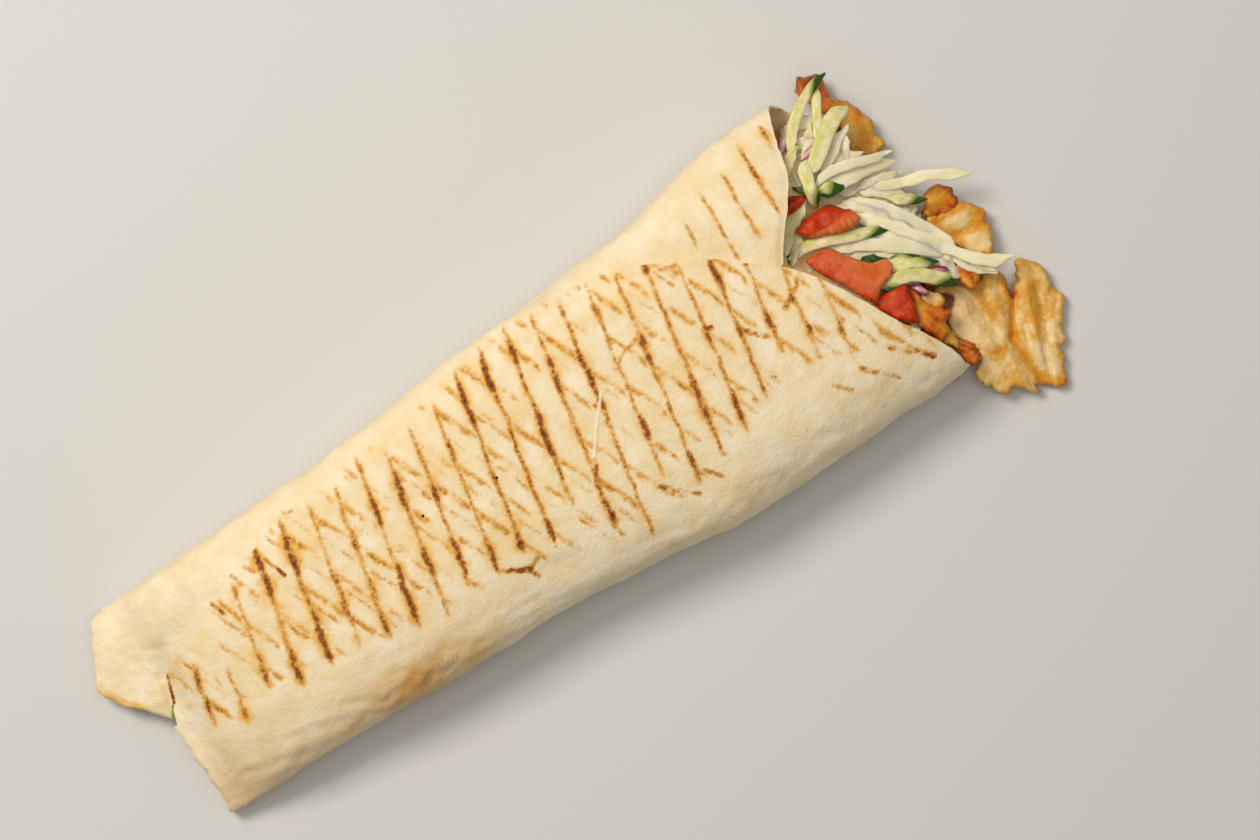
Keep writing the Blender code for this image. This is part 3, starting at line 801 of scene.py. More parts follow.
    def dark_strokes(self, add: Callable[..., Any], x: Any, y: Any, fade: Any) -> Any:
        """Add the single strokes that belong to no line, on the upper side only."""
        total = 0.0
        for mark in self.scorches_and_slit_shadow:
            away = self.from_segment(add, x, y, mark.start, mark.end)
            here = add("MapRange", {0: away, 1: mark.half_width * 2, 2: 0.0, 4: mark.tone},
                       interpolation_type="SMOOTHSTEP")
            total = add("Math", {0: here, 1: total}, operation="MAXIMUM")
        upper = add("Attribute", attribute_name="upper").outputs["Fac"]
        keep = add("MapRange", {0: fade, 1: 0.38, 2: 0.56, 3: 0.45, 4: 1.15})
        total = add("Math", {0: total, 1: keep}, operation="MULTIPLY")
        return add("Math", {0: total, 1: upper}, operation="MULTIPLY")

    def off_the_crease(self, add: Callable[..., Any], x: Any, y: Any) -> bpy.types.Node:
        """Add a share that drops to nothing along the crease."""
        runs = [self.from_segment(add, x, y, *run) for run in self.creases]
        away = add("Math", {0: runs[0], 1: runs[1]}, operation="MINIMUM")
        return add("MapRange", {0: away, 1: 0.15, 2: 0.75, 3: 0.30})

    def relief(self, add: Callable[..., Any], place: Any, dotted: Any, smooth: Any,
               shader: bpy.types.Node) -> None:
        """Add the fine relief of the crust: flour, pores of half a millimetre, the crease."""
        pores = add("TexNoise", {"Vector": place, "Scale": 1400.0, "Detail": 3.0})
        swells = add("TexNoise", {"Vector": place, "Scale": 300.0, "Detail": 4.0,
                                  "Roughness": 0.6})
        height = add("Math", {0: swells, 1: 2.4, 2: pores.outputs[0]},
                     operation="MULTIPLY_ADD")
        sunk = add("Math", {0: dotted, 1: -0.9, 2: height}, operation="MULTIPLY_ADD")
        sunk = add("Math", {0: smooth, 1: -1.8, 2: sunk}, operation="MULTIPLY_ADD")
        bump = add("Bump", {"Strength": 0.6, "Distance": 0.00032, "Height": sunk})
        shader.id_data.links.new(bump.outputs[0], shader.inputs["Normal"])


# ---------------------------------------------------------------- the bread


@dataclass(frozen=True)
class Blotch:
    """A golden patch of the bread: its place, reach and strength. Most are where the heat turned it
    golden; those on the crumpled -Y side are partly painted shade of its folds.
    """

    x: float
    y: float
    reach: float
    tone: float
    first_turn: bool = False


@dataclass(frozen=True)
class Crease:
    """A fold of the bread from one place to another: how deep it is, and how wide."""

    start: tuple
    end: tuple
    depth: float
    width: float = 1.0


@dataclass
class Flatbread:
    """The round flatbread as it lies rolled up: one closed sheet, in millimetres."""

    roll: Roll
    thick: float = 1.3
    free_rim_x: tuple = (-160, -145, -132, -115, 28, 50, 84)
    free_rim_at: tuple = (1.2, 1.0, 0.3, 0.02, 0.02, 0.2, 0.3)
    free_taper: float = 9.0
    mouth_rim: float = 0.8
    mouth_taper: float = 3.0
    layer_gap_x: tuple = (-150, -130, 28, 50)
    layer_gap_at: tuple = (0.9, 0.02, 0.02, 0.2)
    drop_start: float = 0.065
    drop_end: float = 0.006
    fold_radius: float = 1.3
    columns: int = 250
    rows: int = 186
    sharp_from: float = 50.0
    mouth_turn: tuple = (-0.72, -0.69, -0.665, -0.63, -0.60, -0.556, -0.50, -0.42, -0.32,
                         -0.16, -0.08, 0.0, 0.066, 0.105, 0.145, 0.18, 0.215, 0.25, 0.276)
    mouth_x_at: tuple = (83.3, 88.5, 94.0, 99.5, 102.0, 105.5, 108.7, 117, 124, 123, 119,
                         117, 114, 109.5, 103.4, 98.8, 93.9, 88.4, 83.1)
    closed_turn: tuple = (-0.781, -0.744, -0.69, -0.66, -0.643, -0.624, -0.556, -0.515,
                          -0.50, -0.38, -0.18, 0.0, 0.05, 0.213)
    closed_x_at: tuple = (-157.7, -162.4, -170.1, -173.2, -174.7, -172.7, -167.2, -163.4,
                          -160.4, -158.0, -159.0, -159.9, -158.6, -159.5)
    inner_x: tuple = (-157.7, -110, -30, 40, 83.3)
    inner_turn_at: tuple = (-0.781, -0.80, -0.80, -0.77, -0.72)
    free_x: tuple = (-159.5, -158.2, -155.2, -150, -136, -93.5, -72, -20, 35.6, 62, 76, 83.1)
    free_turn_at: tuple = (0.213, 0.235, 0.29, 0.317, 0.347, 0.412, 0.50, 0.52, 0.416, 0.35,
                           0.301, 0.276)
    fold_turn: tuple = (-0.781, -0.70, -0.60, -0.45, -0.22, -0.08, 0.213)
    fold_length_at: tuple = (1.5, 2.0, 12.0, 13.0, 10.0, 2.0, 1.5)
    fold_steps: tuple = (0.04, 0.08, 0.12, 0.16, 0.20, 0.24, 0.28, 0.32, 0.45, 0.6, 0.8, 1.0)
    blotches: tuple = (
        Blotch(-147, 11, 2.6, 0.42), Blotch(-151.5, 9, 1.8, 0.5),
        Blotch(-152.5, -2.5, 1.6, 0.4), Blotch(-136, -17.5, 2.4, 0.35),
        Blotch(-140, -6, 1.8, 0.3), Blotch(-147, -18, 1.6, 0.3),
        # These patches on the -Y side, from x = -150 to -66, are partly golden toast and partly
        # painted shade of the crumpled folds.
        Blotch(-98, -33, 6.0, 0.24), Blotch(-89, -36, 6.0, 0.26), Blotch(-91, -29, 3.4, 0.36),
        Blotch(-80, -38, 6.0, 0.26), Blotch(-66, -38, 8.0, 0.26), Blotch(-84, -32, 3.0, 0.34),
        Blotch(-116, -36, 9.0, 0.20),
        Blotch(-71, -31, 4.0, 0.28), Blotch(-150, -31, 6.0, 0.2),
        Blotch(-68, 41, 1.4, 0.5, True), Blotch(6, -43, 1.6, 0.35),
        Blotch(95, 51, 5.0, 0.24, True), Blotch(101, 48, 3.4, 0.26, True),
        Blotch(90, 56, 3.0, 0.2, True),
    )

    creases: tuple = (
        Crease((-150, -31), (-128, -34), 0.5, 1.2), Crease((-136, -26), (-112, -33), 0.4, 1.6),
        Crease((-124, -38), (-100, -37), 0.5, 1.2), Crease((-108, -29), (-96, -35), 0.6, 1.2),
        Crease((-96, -35), (-84, -33.5), 0.9, 1.2), Crease((-90, -27.5), (-82, -37), 1.1, 1.2),
        Crease((-82, -37), (-72, -38), 1.0, 1.2), Crease((-84, -31), (-70, -34), 0.7, 1.2),
        Crease((-74, -30), (-62, -37), 0.5, 1.4), Crease((-60, -41), (-38, -41.5), 0.4, 1.4),
        Crease((-34, -38), (-14, -42), 0.35, 1.4), Crease((12, -41), (30, -38.5), 0.4, 1.3),
        Crease((24, -44), (38, -42), 0.5, 1.0), Crease((33, -40), (50, -42.5), 0.7, 0.9),
        Crease((46, -44.5), (60, -43), 0.6, 1.0), Crease((62, -41), (80, -43), 0.4, 1.4),
        Crease((96, -46), (101, -50), 0.5, 0.9), Crease((-158, -20), (-150, -22), 0.4, 0.8),
        Crease((-157, -28), (-147, -27), 0.4, 0.8), Crease((-156, 33), (-136, 30), 0.3, 2.0),
        Crease((13.5, 9.5), (1.0, -6.5), -0.32, 0.7), Crease((1.0, -6.5), (-3.6, -15), -0.25, 0.7),
        Crease((15.0, 8.5), (2.5, -7.5), 0.22, 0.7), Crease((-80, -21), (-83, -24), 0.5, 0.7),
    )

    def __post_init__(self) -> None:
        """Set up the curves of the outline."""
        self.mouth_x = smooth_curve(self.mouth_turn, self.mouth_x_at)
        self.closed_x = smooth_curve(self.closed_turn, self.closed_x_at)
        self.inner_turn = smooth_curve(self.inner_x, self.inner_turn_at)
        self.free_turn = smooth_curve(self.free_x, self.free_turn_at)
        self.fold_length = smooth_curve(self.fold_turn, self.fold_length_at)
        self.free_rim = smooth_curve(self.free_rim_x, self.free_rim_at)
        self.layer_gap = smooth_curve(self.layer_gap_x, self.layer_gap_at)

    def grid(self) -> tuple[Array, Array, Array]:
        """Return x, turn and run round the end fold for each place on the sheet."""
        t = np.linspace(0.0, 1.0, self.columns + 1)
        u = (t - 0.5 / (2 * math.pi) * np.sin(2 * math.pi * t))[None, :]
        v = np.linspace(0.0, 1.0, self.rows + 1)[:, None]
        low = (self.closed_turn[0], self.mouth_turn[0])
        high = (self.closed_turn[-1], self.mouth_turn[-1])
        left_turn = low[0] + (high[0] - low[0]) * v
        right_turn = low[1] + (high[1] - low[1]) * v
        corners = ease(v * 14) * ease((1 - v) * 14)
        fray = soft_noise(left_turn * 200.0, 0.0, 2.6, 11) * 0.45 * corners
        fray += soft_noise(left_turn * 200.0, 4.0, 7.0, 16) * 0.5 * corners
        left = self.closed_x(left_turn) + fray
        fray = soft_noise(right_turn * 230.0, 0.0, 5.0, 12) * 0.45
        fray += soft_noise(right_turn * 230.0, 9.0, 1.9, 13) * 0.28
        right = self.mouth_x(right_turn) + fray * corners
        inner_ends = self.inner_x[0], self.inner_x[-1]
        free_ends = self.free_x[0], self.free_x[-1]
        near_x = inner_ends[0] + (inner_ends[1] - inner_ends[0]) * u
        far_x = free_ends[0] + (free_ends[1] - free_ends[0]) * u
        fray = soft_noise(far_x, 0.0, 6.0, 14) * 0.004 + soft_noise(far_x, 5.0, 2.2, 15) * 0.0014
        far_turn = self.free_turn(far_x) + fray * ease(u * 12) * ease((1 - u) * 12)
        corner_x = ((1 - v) * ((1 - u) * left[0, 0] + u * right[0, 0])
                    + v * ((1 - u) * left[-1, 0] + u * right[-1, 0]))
        corner_turn = ((1 - v) * ((1 - u) * low[0] + u * low[1])
                       + v * ((1 - u) * high[0] + u * high[1]))
        x = (1 - u) * left + u * right + (1 - v) * near_x + v * far_x - corner_x
        turn = ((1 - u) * left_turn + u * right_turn + (1 - v) * self.inner_turn(near_x)
                + v * far_turn - corner_turn)
        length = self.fold_length(left_turn)
        runs = np.concatenate([length * step for step in reversed(self.fold_steps)], axis=1)
        count = len(self.fold_steps)
        x = np.concatenate([np.repeat(x[:, :1], count, axis=1), x], axis=1)
        turn = np.concatenate([np.repeat(turn[:, :1], count, axis=1), turn], axis=1)
        run = np.zeros_like(x)
        run[:, :count] = runs
        return x, turn, run

    def from_edge(self, x: Array, turn: Array) -> tuple[Array, Array]:
        """Return about how far each place is from the free edge and from the mouth."""
        girth = self.roll.girth(x)
        free = np.where(turn > 0.1, (self.free_turn(x) - turn) * girth, 99.0)
        mouth = self.mouth_x(np.clip(turn, self.mouth_turn[0], self.mouth_turn[-1])) - x
        # Both edges run aslant here and there, so the true distance is a little less.
        return np.maximum(free * 0.8, 0.0), np.maximum(mouth * 0.8, 0.0)

    def contact(self, x: Array, y: Array) -> Array:
        """Return where the hot grill plate touched the bread, as a share from 0 to 1."""
        low = smooth_curve((-150, -125, -85, -40, 0, 30, 60, 88, 108),
                           (-14, -12, -19, -23, -33, -30, -21, -24, -38))(x)
        high = smooth_curve((-150, -132, -107, -65, -32, 0, 46, 80, 108),
                            (8, 17, 30, 34, 38, 44, 42, 40, 44))(x)
        ends = ease((x + 156) / 8) * ease((114 - x) / 6)
        return ease((y - low) / 5 + 0.5) * ease((high - y) / 5 + 0.5) * ends

    def toasted(self, x: Array, y: Array, turn: Array) -> Array:
        """Return how golden the bread is away from the grill lines, from 0 to 1; on the crumpled -Y
        side this includes painted shade.
        """
        first_turn = turn < -0.5
        total = np.zeros_like(x)
        for patch in self.blotches:
            here = patch.tone * bell(np.hypot(x - patch.x, y - patch.y), patch.reach)
            total = np.maximum(total, here * (first_turn == patch.first_turn))
        total *= 1.0 + 0.35 * soft_noise(x, y, 2.6, 31)
        # The corner of the first turn at the closed end has a golden crust along its edge.
        edge = x - self.closed_x(np.clip(turn, self.closed_turn[0], self.closed_turn[-1]))
        crust = 0.40 * bell(edge, 1.8) * ease((y + 1) / 7) * ease((21 - y) / 3)
        crust *= 1.0 + 0.6 * soft_noise(x, y, 2.4, 32)
        return np.maximum(total, crust * first_turn) * ((turn > 0) | first_turn)

    def tanned(self, x: Array, y: Array) -> Array:
        """Return how much tan colour the crumpled side takes, in streaks along its folds: partly the
        crust's own tan, partly painted shade of the folds.
        """
        streaks = soft_noise(0.35 * (x + 0.5 * y), y - 0.5 * x, 3.2, 35)
        crumpled = bell(x + 84, 24) * bell(y + 36, 8) * (0.75 + 0.3 * streaks)
        # Painted shade: the lower side of the closed end darkens towards -Y, where it turns away
        # from the light.
        end = 0.3 * ease((-112 - x) / 25) * ease((-10 - y) / 22)
        return np.clip(crumpled + end * (1 + 0.4 * soft_noise(x, y, 8.0, 36)), 0.0, 1.0)

    def lumps(self, x: Array, turn: Array, y: Array, contact: Array) -> Array:
        """Return how far the bread stands out because of what it is rolled round."""
        first_turn = turn < -0.5
        way = np.where(first_turn, turn + 1.0, turn)
        girth = way * self.roll.girth(x)
        free = 1.0 - 0.7 * contact
        out = soft_noise(x, girth, 30.0, 21) * 0.7 * free
        out += soft_noise(x, girth, 13.0, 22) * 0.35 * free
        out += soft_noise(x, girth, 6.0, 23) * 0.2 * free
        out += soft_noise(x, girth, 3.0, 26) * 0.08
        # Long wrinkles on the -Y side, where the bread was bent.
        side = bell(way - 0.03, 0.07)
        wrinkles = 1.0 - np.abs(soft_noise(x / 5.0, girth, 4.2, 24)) * 2.0
        out += wrinkles * 0.5 * side * ease((soft_noise(x, girth, 36.0, 25) + 0.4) / 0.6)
        # Crumpled stretch of that side, nearer the closed end.
        crumple = bell(x + 78, 22) * bell(y + 36, 7) * (way > 0)
        out += (0.5 - np.abs(soft_noise(x * 0.7 + y, y - 0.4 * x, 3.6, 27))) * 0.9 * crumple
        # Crinkles at the closed end, where the bread is pinched flat.
        pinch = ease((-148 - x) / 8)
        out += (0.5 - np.abs(soft_noise(x, girth * 0.6, 2.6, 28))) * 0.45 * pinch
        for start, end in (((-155, 20.5), (-149, 18)), ((-149, 18), (-143, 15.5))):
            out -= 0.45 * bell(from_line(x, y, start, end), 0.8) * first_turn
        bent_x = x + 1.6 * soft_noise(x, y, 5.0, 33)
        bent_y = y + 1.2 * soft_noise(x, y, 5.0, 34)
        for fold in self.creases:
            away = from_line(bent_x, bent_y, fold.start, fold.end)
            depth = bell(away, fold.width) - 0.6 * bell(away, fold.width * 2.6)
            out -= fold.depth * depth * (turn > 0.0)
        return out

    def points(self, side: int) -> tuple[Array, dict[str, Array]]:
        """Return the points of one face of the sheet, and what its material reads.

        Args:
            side: -1 for the outside face and +1 for the inside face.
        """
        x, turn, run = self.grid()
        angle = np.minimum(run / self.fold_radius, math.pi)
        past = run - angle * self.fold_radius
        at = x - self.fold_radius * np.sin(angle) + past
        edge = self.free_turn(x) - 1.0
        drop = ease((edge + self.drop_start - turn) / (self.drop_start - self.drop_end))
        depth = drop * (self.thick + self.layer_gap(x))
        y = self.roll.at(x, turn, 0.0)[..., 1]
        on_top = (turn > 0.0) | (turn < -0.5)
        contact = self.contact(x, y)
        lumps = self.lumps(x, turn, y, contact)
        free, mouth = self.from_edge(x, turn)
        free_rim = self.free_rim(x)
        thick = np.minimum(
            free_rim + (self.thick - free_rim) * ease(free / self.free_taper),
            self.mouth_rim + (self.thick - self.mouth_rim) * ease(mouth / self.mouth_taper))
        # The sheet thins towards its edge from the outside, so it lies snug on itself.
        top = (depth - lumps + self.fold_radius * (1 - np.cos(angle))
               + self.thick - thick)
        at = at + side * np.sin(angle) * thick / 2
        centre = top + thick / 2
        points = self.roll.at(at, turn, centre + side * np.cos(angle) * thick / 2)
        outside = 1.0 if side < 0 else 0.0
        marks = {
            "contact": contact * outside,
            "layer": (turn > -0.46) * outside,
            "upper": (turn > 0.0) * outside,
            "inside": np.full_like(x, 1.0 - outside) * (run < 0.5),
            "toast": self.toasted(x, y, turn) * outside * on_top,
            "tanned": self.tanned(x, y) * outside * (turn > -0.1),
        }
        return points.reshape(-1, 3), {key: value.ravel() for key, value in marks.items()}

    def build(self, look: bpy.types.Material) -> bpy.types.Object:
        """Build the bread in place of its plain solid."""
        outer, outer_marks = self.points(-1)
        inner, inner_marks = self.points(1)
        rows = self.rows + 1
        columns = self.columns + 1 + len(self.fold_steps)
        number = np.arange(rows * columns).reshape(rows, columns)
        quads = np.stack([number[:-1, :-1], number[:-1, 1:], number[1:, 1:], number[1:, :-1]],
                         axis=-1).reshape(-1, 4)
        below = rows * columns
        rim = np.concatenate([number[0, :-1], number[:-1, -1], number[-1, :0:-1],
                              number[:0:-1, 0]])
        following = np.roll(rim, -1)
        band = np.stack([following, rim, rim + below, following + below], axis=-1)
        sheet = Parts()
        marks = {key: np.concatenate([outer_marks[key], inner_marks[key]])
                 for key in outer_marks}
        sheet.add(np.concatenate([outer, inner]), [quads, quads[:, ::-1] + below, band],
                  **marks)
        made = sheet.build("flatbread_sheet", look, "toasted_flatbread")
        # The thin rim has an edge of its own, or the shading would bend along it.
        made.data.set_sharp_from_angle(angle=math.radians(self.sharp_from))
        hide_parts("flatbread")
        return made


# ---------------------------------------------------------------- shapes of the filling


@dataclass(frozen=True)
class Eye:
    """Where the wrap is looked at from, straight down, in millimetres.

    The plans of the filling are drawn as they look from here at drawn_level, so a point
    of them that lies lower is set a little further out, and a higher one further in.
    """

    x: float = 16.3
    y: float = -2.6
    height: float = 970.0
    drawn_level: float = 18.0

    def place(self, x: Any, y: Any, z: Any) -> Array:
        """Return the points that look as drawn when they lie at the height z."""
        open_out = (self.height - np.asarray(z, float)) / (self.height - self.drawn_level)
        return np.stack(np.broadcast_arrays(self.x + (x - self.x) * open_out,
                                            self.y + (y - self.y) * open_out, z), axis=-1)


EYE = Eye()


@dataclass
class Filling:
    """How high the shaved chicken and the salad lie in the roll, in millimetres."""

    roll: Roll
    bread: float = 3.4
    side_gap: float = 2.5
    chicken_x: tuple = (-143, -120, -60, 0, 60, 90, 102, 115)
    chicken_at: tuple = (9.0, 13.0, 16.0, 17.0, 17.0, 16.0, 13.5, 9.5)
    top_x: tuple = (80, 86, 92, 100, 108, 116, 124, 130.5)
    top_at: tuple = (40.0, 30.0, 23.6, 22.6, 20.4, 18.5, 16.5, 13.5)
    far_rise: float = 4.5

    def __post_init__(self) -> None:
        """Set up the curves of the two levels."""
        self.chicken = smooth_curve(self.chicken_x, self.chicken_at)
        self.top = smooth_curve(self.top_x, self.top_at)

    def level(self, x: Any, y: Any) -> Array:
        """Return the height of the heap of salad where nothing covers it."""
        y = np.asarray(y, float)
        return (self.top(x) + self.far_rise * ease((y - 20.0) / 8.0)
                - 3.0 * ease((y - 36.0) / 14.0))

    def inside(self, x: float, y: Array) -> tuple[Array, Array]:
        """Return the lowest and highest place between the bread at x."""
        spread = np.linspace(-1.0, 1.0, 301)
        plan, base, top = self.roll.heights(x, spread)
        low = np.interp(y, plan, base) + self.bread * 0.75
        high = np.interp(y, plan, top) - self.bread * 1.25
        return low, np.maximum(high, low + 0.6)

    def across(self, x: float, count: int, minus: float = -99.0, plus: float = 99.0) -> Array:
        """Return places across the filling at x, closer together at its sides."""
        minus = max(minus, self.bread + self.side_gap - float(self.roll.half_minus(x)))
        plus = min(plus, float(self.roll.half_plus(x)) - self.bread * 1.4 - self.side_gap)
        return (minus + plus) / 2 - (plus - minus) / 2 * np.cos(np.linspace(0, math.pi, count))


def loft(parts: Parts, sections: Sequence[Array], **marks: Any) -> None:
    """Add a closed solid that runs through rings of points.

    Args:
        parts: gathers the solid.
        sections: rings with the same number of points, in order.
        **marks: numbers for its points.
    """
    rings = np.asarray(sections, float)
    count, size = rings.shape[:2]
    number = np.arange(count * size).reshape(count, size)
    after = np.roll(number, -1, axis=1)
    quads = np.stack([number[:-1], after[:-1], after[1:], number[1:]], axis=-1).reshape(-1, 4)
    parts.add(rings.reshape(-1, 3), [quads, number[:1, ::-1], number[-1:]], **marks)


def ribbon(parts: Parts, path: Array, width: Array, thick: Array, bow: float = 0.0,
           sides: int = 12, squareness: float = 2.8, slant: float = 0.0,
           **marks: Any) -> None:
    """Add a strip along a path, flat side up, with rounded edges and cut ends.

    Each point gets the marks "start" and "end", its distance from either end, "across",
    from -1 to 1, and "top", from -1 to 1.

    Args:
        parts: gathers the strip.
        path: points along its middle, in millimetres.
        width: its width at each point of the path.
        thick: its thickness at each point of the path.
        bow: how far its edges turn down, as a share of its width.
        sides: how many points go round it.
        squareness: 2 for an oval section, more for a squarer one.
        slant: how far the cut at its ends runs aslant, in millimetres.
        **marks: further numbers for its points.
    """
    along = np.gradient(path, axis=0)
    along /= np.linalg.norm(along, axis=1)[:, None]
    beside = np.stack([-along[:, 1], along[:, 0], np.zeros(len(path))], axis=1)
    beside /= np.linalg.norm(beside, axis=1)[:, None]
    above = np.cross(along, beside)
    turn = np.linspace(0.0, 2 * math.pi, sides, endpoint=False) + math.pi / sides
    power = 2.0 / squareness
    out = np.sign(np.cos(turn)) * np.abs(np.cos(turn)) ** power
    up = np.sign(np.sin(turn)) * np.abs(np.sin(turn)) ** power
    run = np.concatenate([[0.0], np.cumsum(np.linalg.norm(np.diff(path, axis=0), axis=1))])
    blunt = np.minimum(run, run[-1] - run)
    blunt = np.sqrt(1.0 - (1.0 - np.clip(blunt / 1.2, 0.0, 1.0)) ** 2 * 0.75)
    half = (width * blunt / 2)[:, None, None]
    lift = (thick * blunt / 2)[:, None, None]
    sag = bow * (width * blunt)[:, None] * (out ** 2)[None, :]
    near_start = slant * ease(1 - run / 5.0) * 0.7
    near_end = slant * ease(1 - (run[-1] - run) / 5.0)
    shift = (near_start + near_end)[:, None] * out[None, :]
    rings = (path[:, None, :] + half * out[None, :, None] * beside[:, None, :]
             + shift[:, :, None] * along[:, None, :]
             + (lift * up[None, :, None] - sag[:, :, None]) * above[:, None, :])
    size = (len(path), sides)
    loft(parts, rings, start=np.broadcast_to(run[:, None], size).ravel(),
         end=np.broadcast_to((run[-1] - run)[:, None], size).ravel(),
         across=np.broadcast_to(out[None, :], size).ravel(),
         top=np.broadcast_to(up[None, :], size).ravel(), **marks)


@dataclass
class Cut:
    """A flat piece with a freely cut outline, before it is given its height.

    outline holds the corners that its edge runs smoothly through, in the plan.
    """

    outline: Sequence[tuple]
    spacing: float = 0.8
    fray: float = 0.35
    fray_size: float = 2.4
    seed: int = 1

    def __post_init__(self) -> None:
        """Fill the outline with triangles and measure how far each point is inside."""
        corners = np.asarray(self.outline, float)
        round_it = np.linalg.norm(corners - np.roll(corners, 1, axis=0), axis=1).sum()
        edge = smooth_path(corners, max(int(round_it / self.spacing), 24), closed=True)
        edge = edge + self.fray * np.stack(
            [soft_noise(edge[:, 0], edge[:, 1], self.fray_size, self.seed + k)
             for k in (0, 50)], axis=1)
        low = edge.min(axis=0)
        high = edge.max(axis=0)
        step = self.spacing * 1.1
        rows = np.arange(low[1], high[1], step * 0.87)
        grid = [(x + step / 2 * (i % 2), y) for i, y in enumerate(rows)
                for x in np.arange(low[0], high[0], step)]
        shaken = np.array(grid) + np.random.default_rng(self.seed).uniform(
            -0.2, 0.2, (len(grid), 2)) * self.spacing
        apart = np.linalg.norm(shaken[:, None, :] - edge[None, :, :], axis=2).min(axis=1)
        points = np.concatenate([edge, shaken[apart > self.spacing * 0.6]])
        ring = [(i, (i + 1) % len(edge)) for i in range(len(edge))]
        made = delaunay_2d_cdt([Vector(p) for p in points], ring, [], 1, 1e-4)
        self.plan = np.array([tuple(p) for p in made[0]])
        self.triangles = np.array([tuple(f) for f in made[2]])
        self.depth = np.linalg.norm(self.plan[:, None, :] - edge[None, :, :],
                                    axis=2).min(axis=1)

    def slab(self, parts: Parts, low: Array, thick: Array, round_off: float,
             relief: Array, **marks: Any) -> None:
        """Add the piece as a slab with a rounded edge.

        Args:
            parts: gathers the slab.
            low: the height of its underside at each point of the plan.
            thick: its thickness at each point.
            round_off: how wide its rounded edge is, in millimetres.
            relief: how far its upper side stands out at each point.
            **marks: further numbers at each point of the plan.
        """
        inward = 1.0 - np.clip(self.depth / round_off, 0.0, 1.0)
        full = np.sqrt(np.maximum(1.0 - inward ** 2, 0.0))
        middle = low + thick / 2
        top = middle + thick / 2 * full + relief * full
        base = middle - thick / 2 * full
        rim = self.depth < 1e-3
        base_number = np.arange(len(self.plan)) + len(self.plan)
        kept = np.cumsum(~rim) - 1 + len(self.plan)
        base_number = np.where(rim, np.arange(len(self.plan)), kept)
        upper = EYE.place(self.plan[:, 0], self.plan[:, 1], top)
        lower = EYE.place(self.plan[~rim, 0], self.plan[~rim, 1], base[~rim])
        marks = {name: np.concatenate([np.broadcast_to(values, len(self.plan)),
                                       np.broadcast_to(values, len(self.plan))[~rim]])
                 for name, values in marks.items()}
        marks["edge"] = np.concatenate([self.depth, self.depth[~rim]])
        parts.add(np.concatenate([upper, lower]),
                  [self.triangles, base_number[self.triangles][:, ::-1]], **marks)


# ---------------------------------------------------------------- the filling's finishes


@dataclass(frozen=True)
class WhiteCabbage:
    """Raw white cabbage, shredded with a knife.

    It is waxy and lets light in, white with a yellow-green cast where it is thick, and
    its veins run along the shred.
    """

    pale: str = "fbeec0"
    deep: str = "ebd892"
    vein: str = "fff7da"
    roughness: float = 0.34
    vein_gap: float = 0.9

    def make(self) -> bpy.types.Material:
        """Build the material and return it."""
        made, shader, add = new_material("raw_white_cabbage", self.roughness, 1.38, 0.5,
                                         (2.6, 2.2, 1.1))
        start = add("Attribute", attribute_name="start").outputs["Fac"]
        across = add("Attribute", attribute_name="across").outputs["Fac"]
        tone = add("Attribute", attribute_name="tone").outputs["Fac"]
        spot = add("CombineXYZ", {0: start, 1: across, 2: tone})
        spread = add("VectorMath", {0: spot, 1: (0.12, 1.0 / self.vein_gap, 40.0)},
                     operation="MULTIPLY")
        veins = add("TexNoise", {"Vector": spread, "Scale": 1.6, "Detail": 3.0})
        vein = add("MapRange", {0: veins, 1: 0.40, 2: 0.66})
        base = add("MixRGB", {0: tone, 1: colour(self.pale), 2: colour(self.deep)})
        base = add("MixRGB", {0: vein, 1: base, 2: colour(self.vein)})
        shader.id_data.links.new(base.outputs[0], shader.inputs["Base Color"])
        bump = add("Bump", {"Strength": 0.5, "Distance": 0.0003, "Height": veins})
        shader.id_data.links.new(bump.outputs[0], shader.inputs["Normal"])
        return made


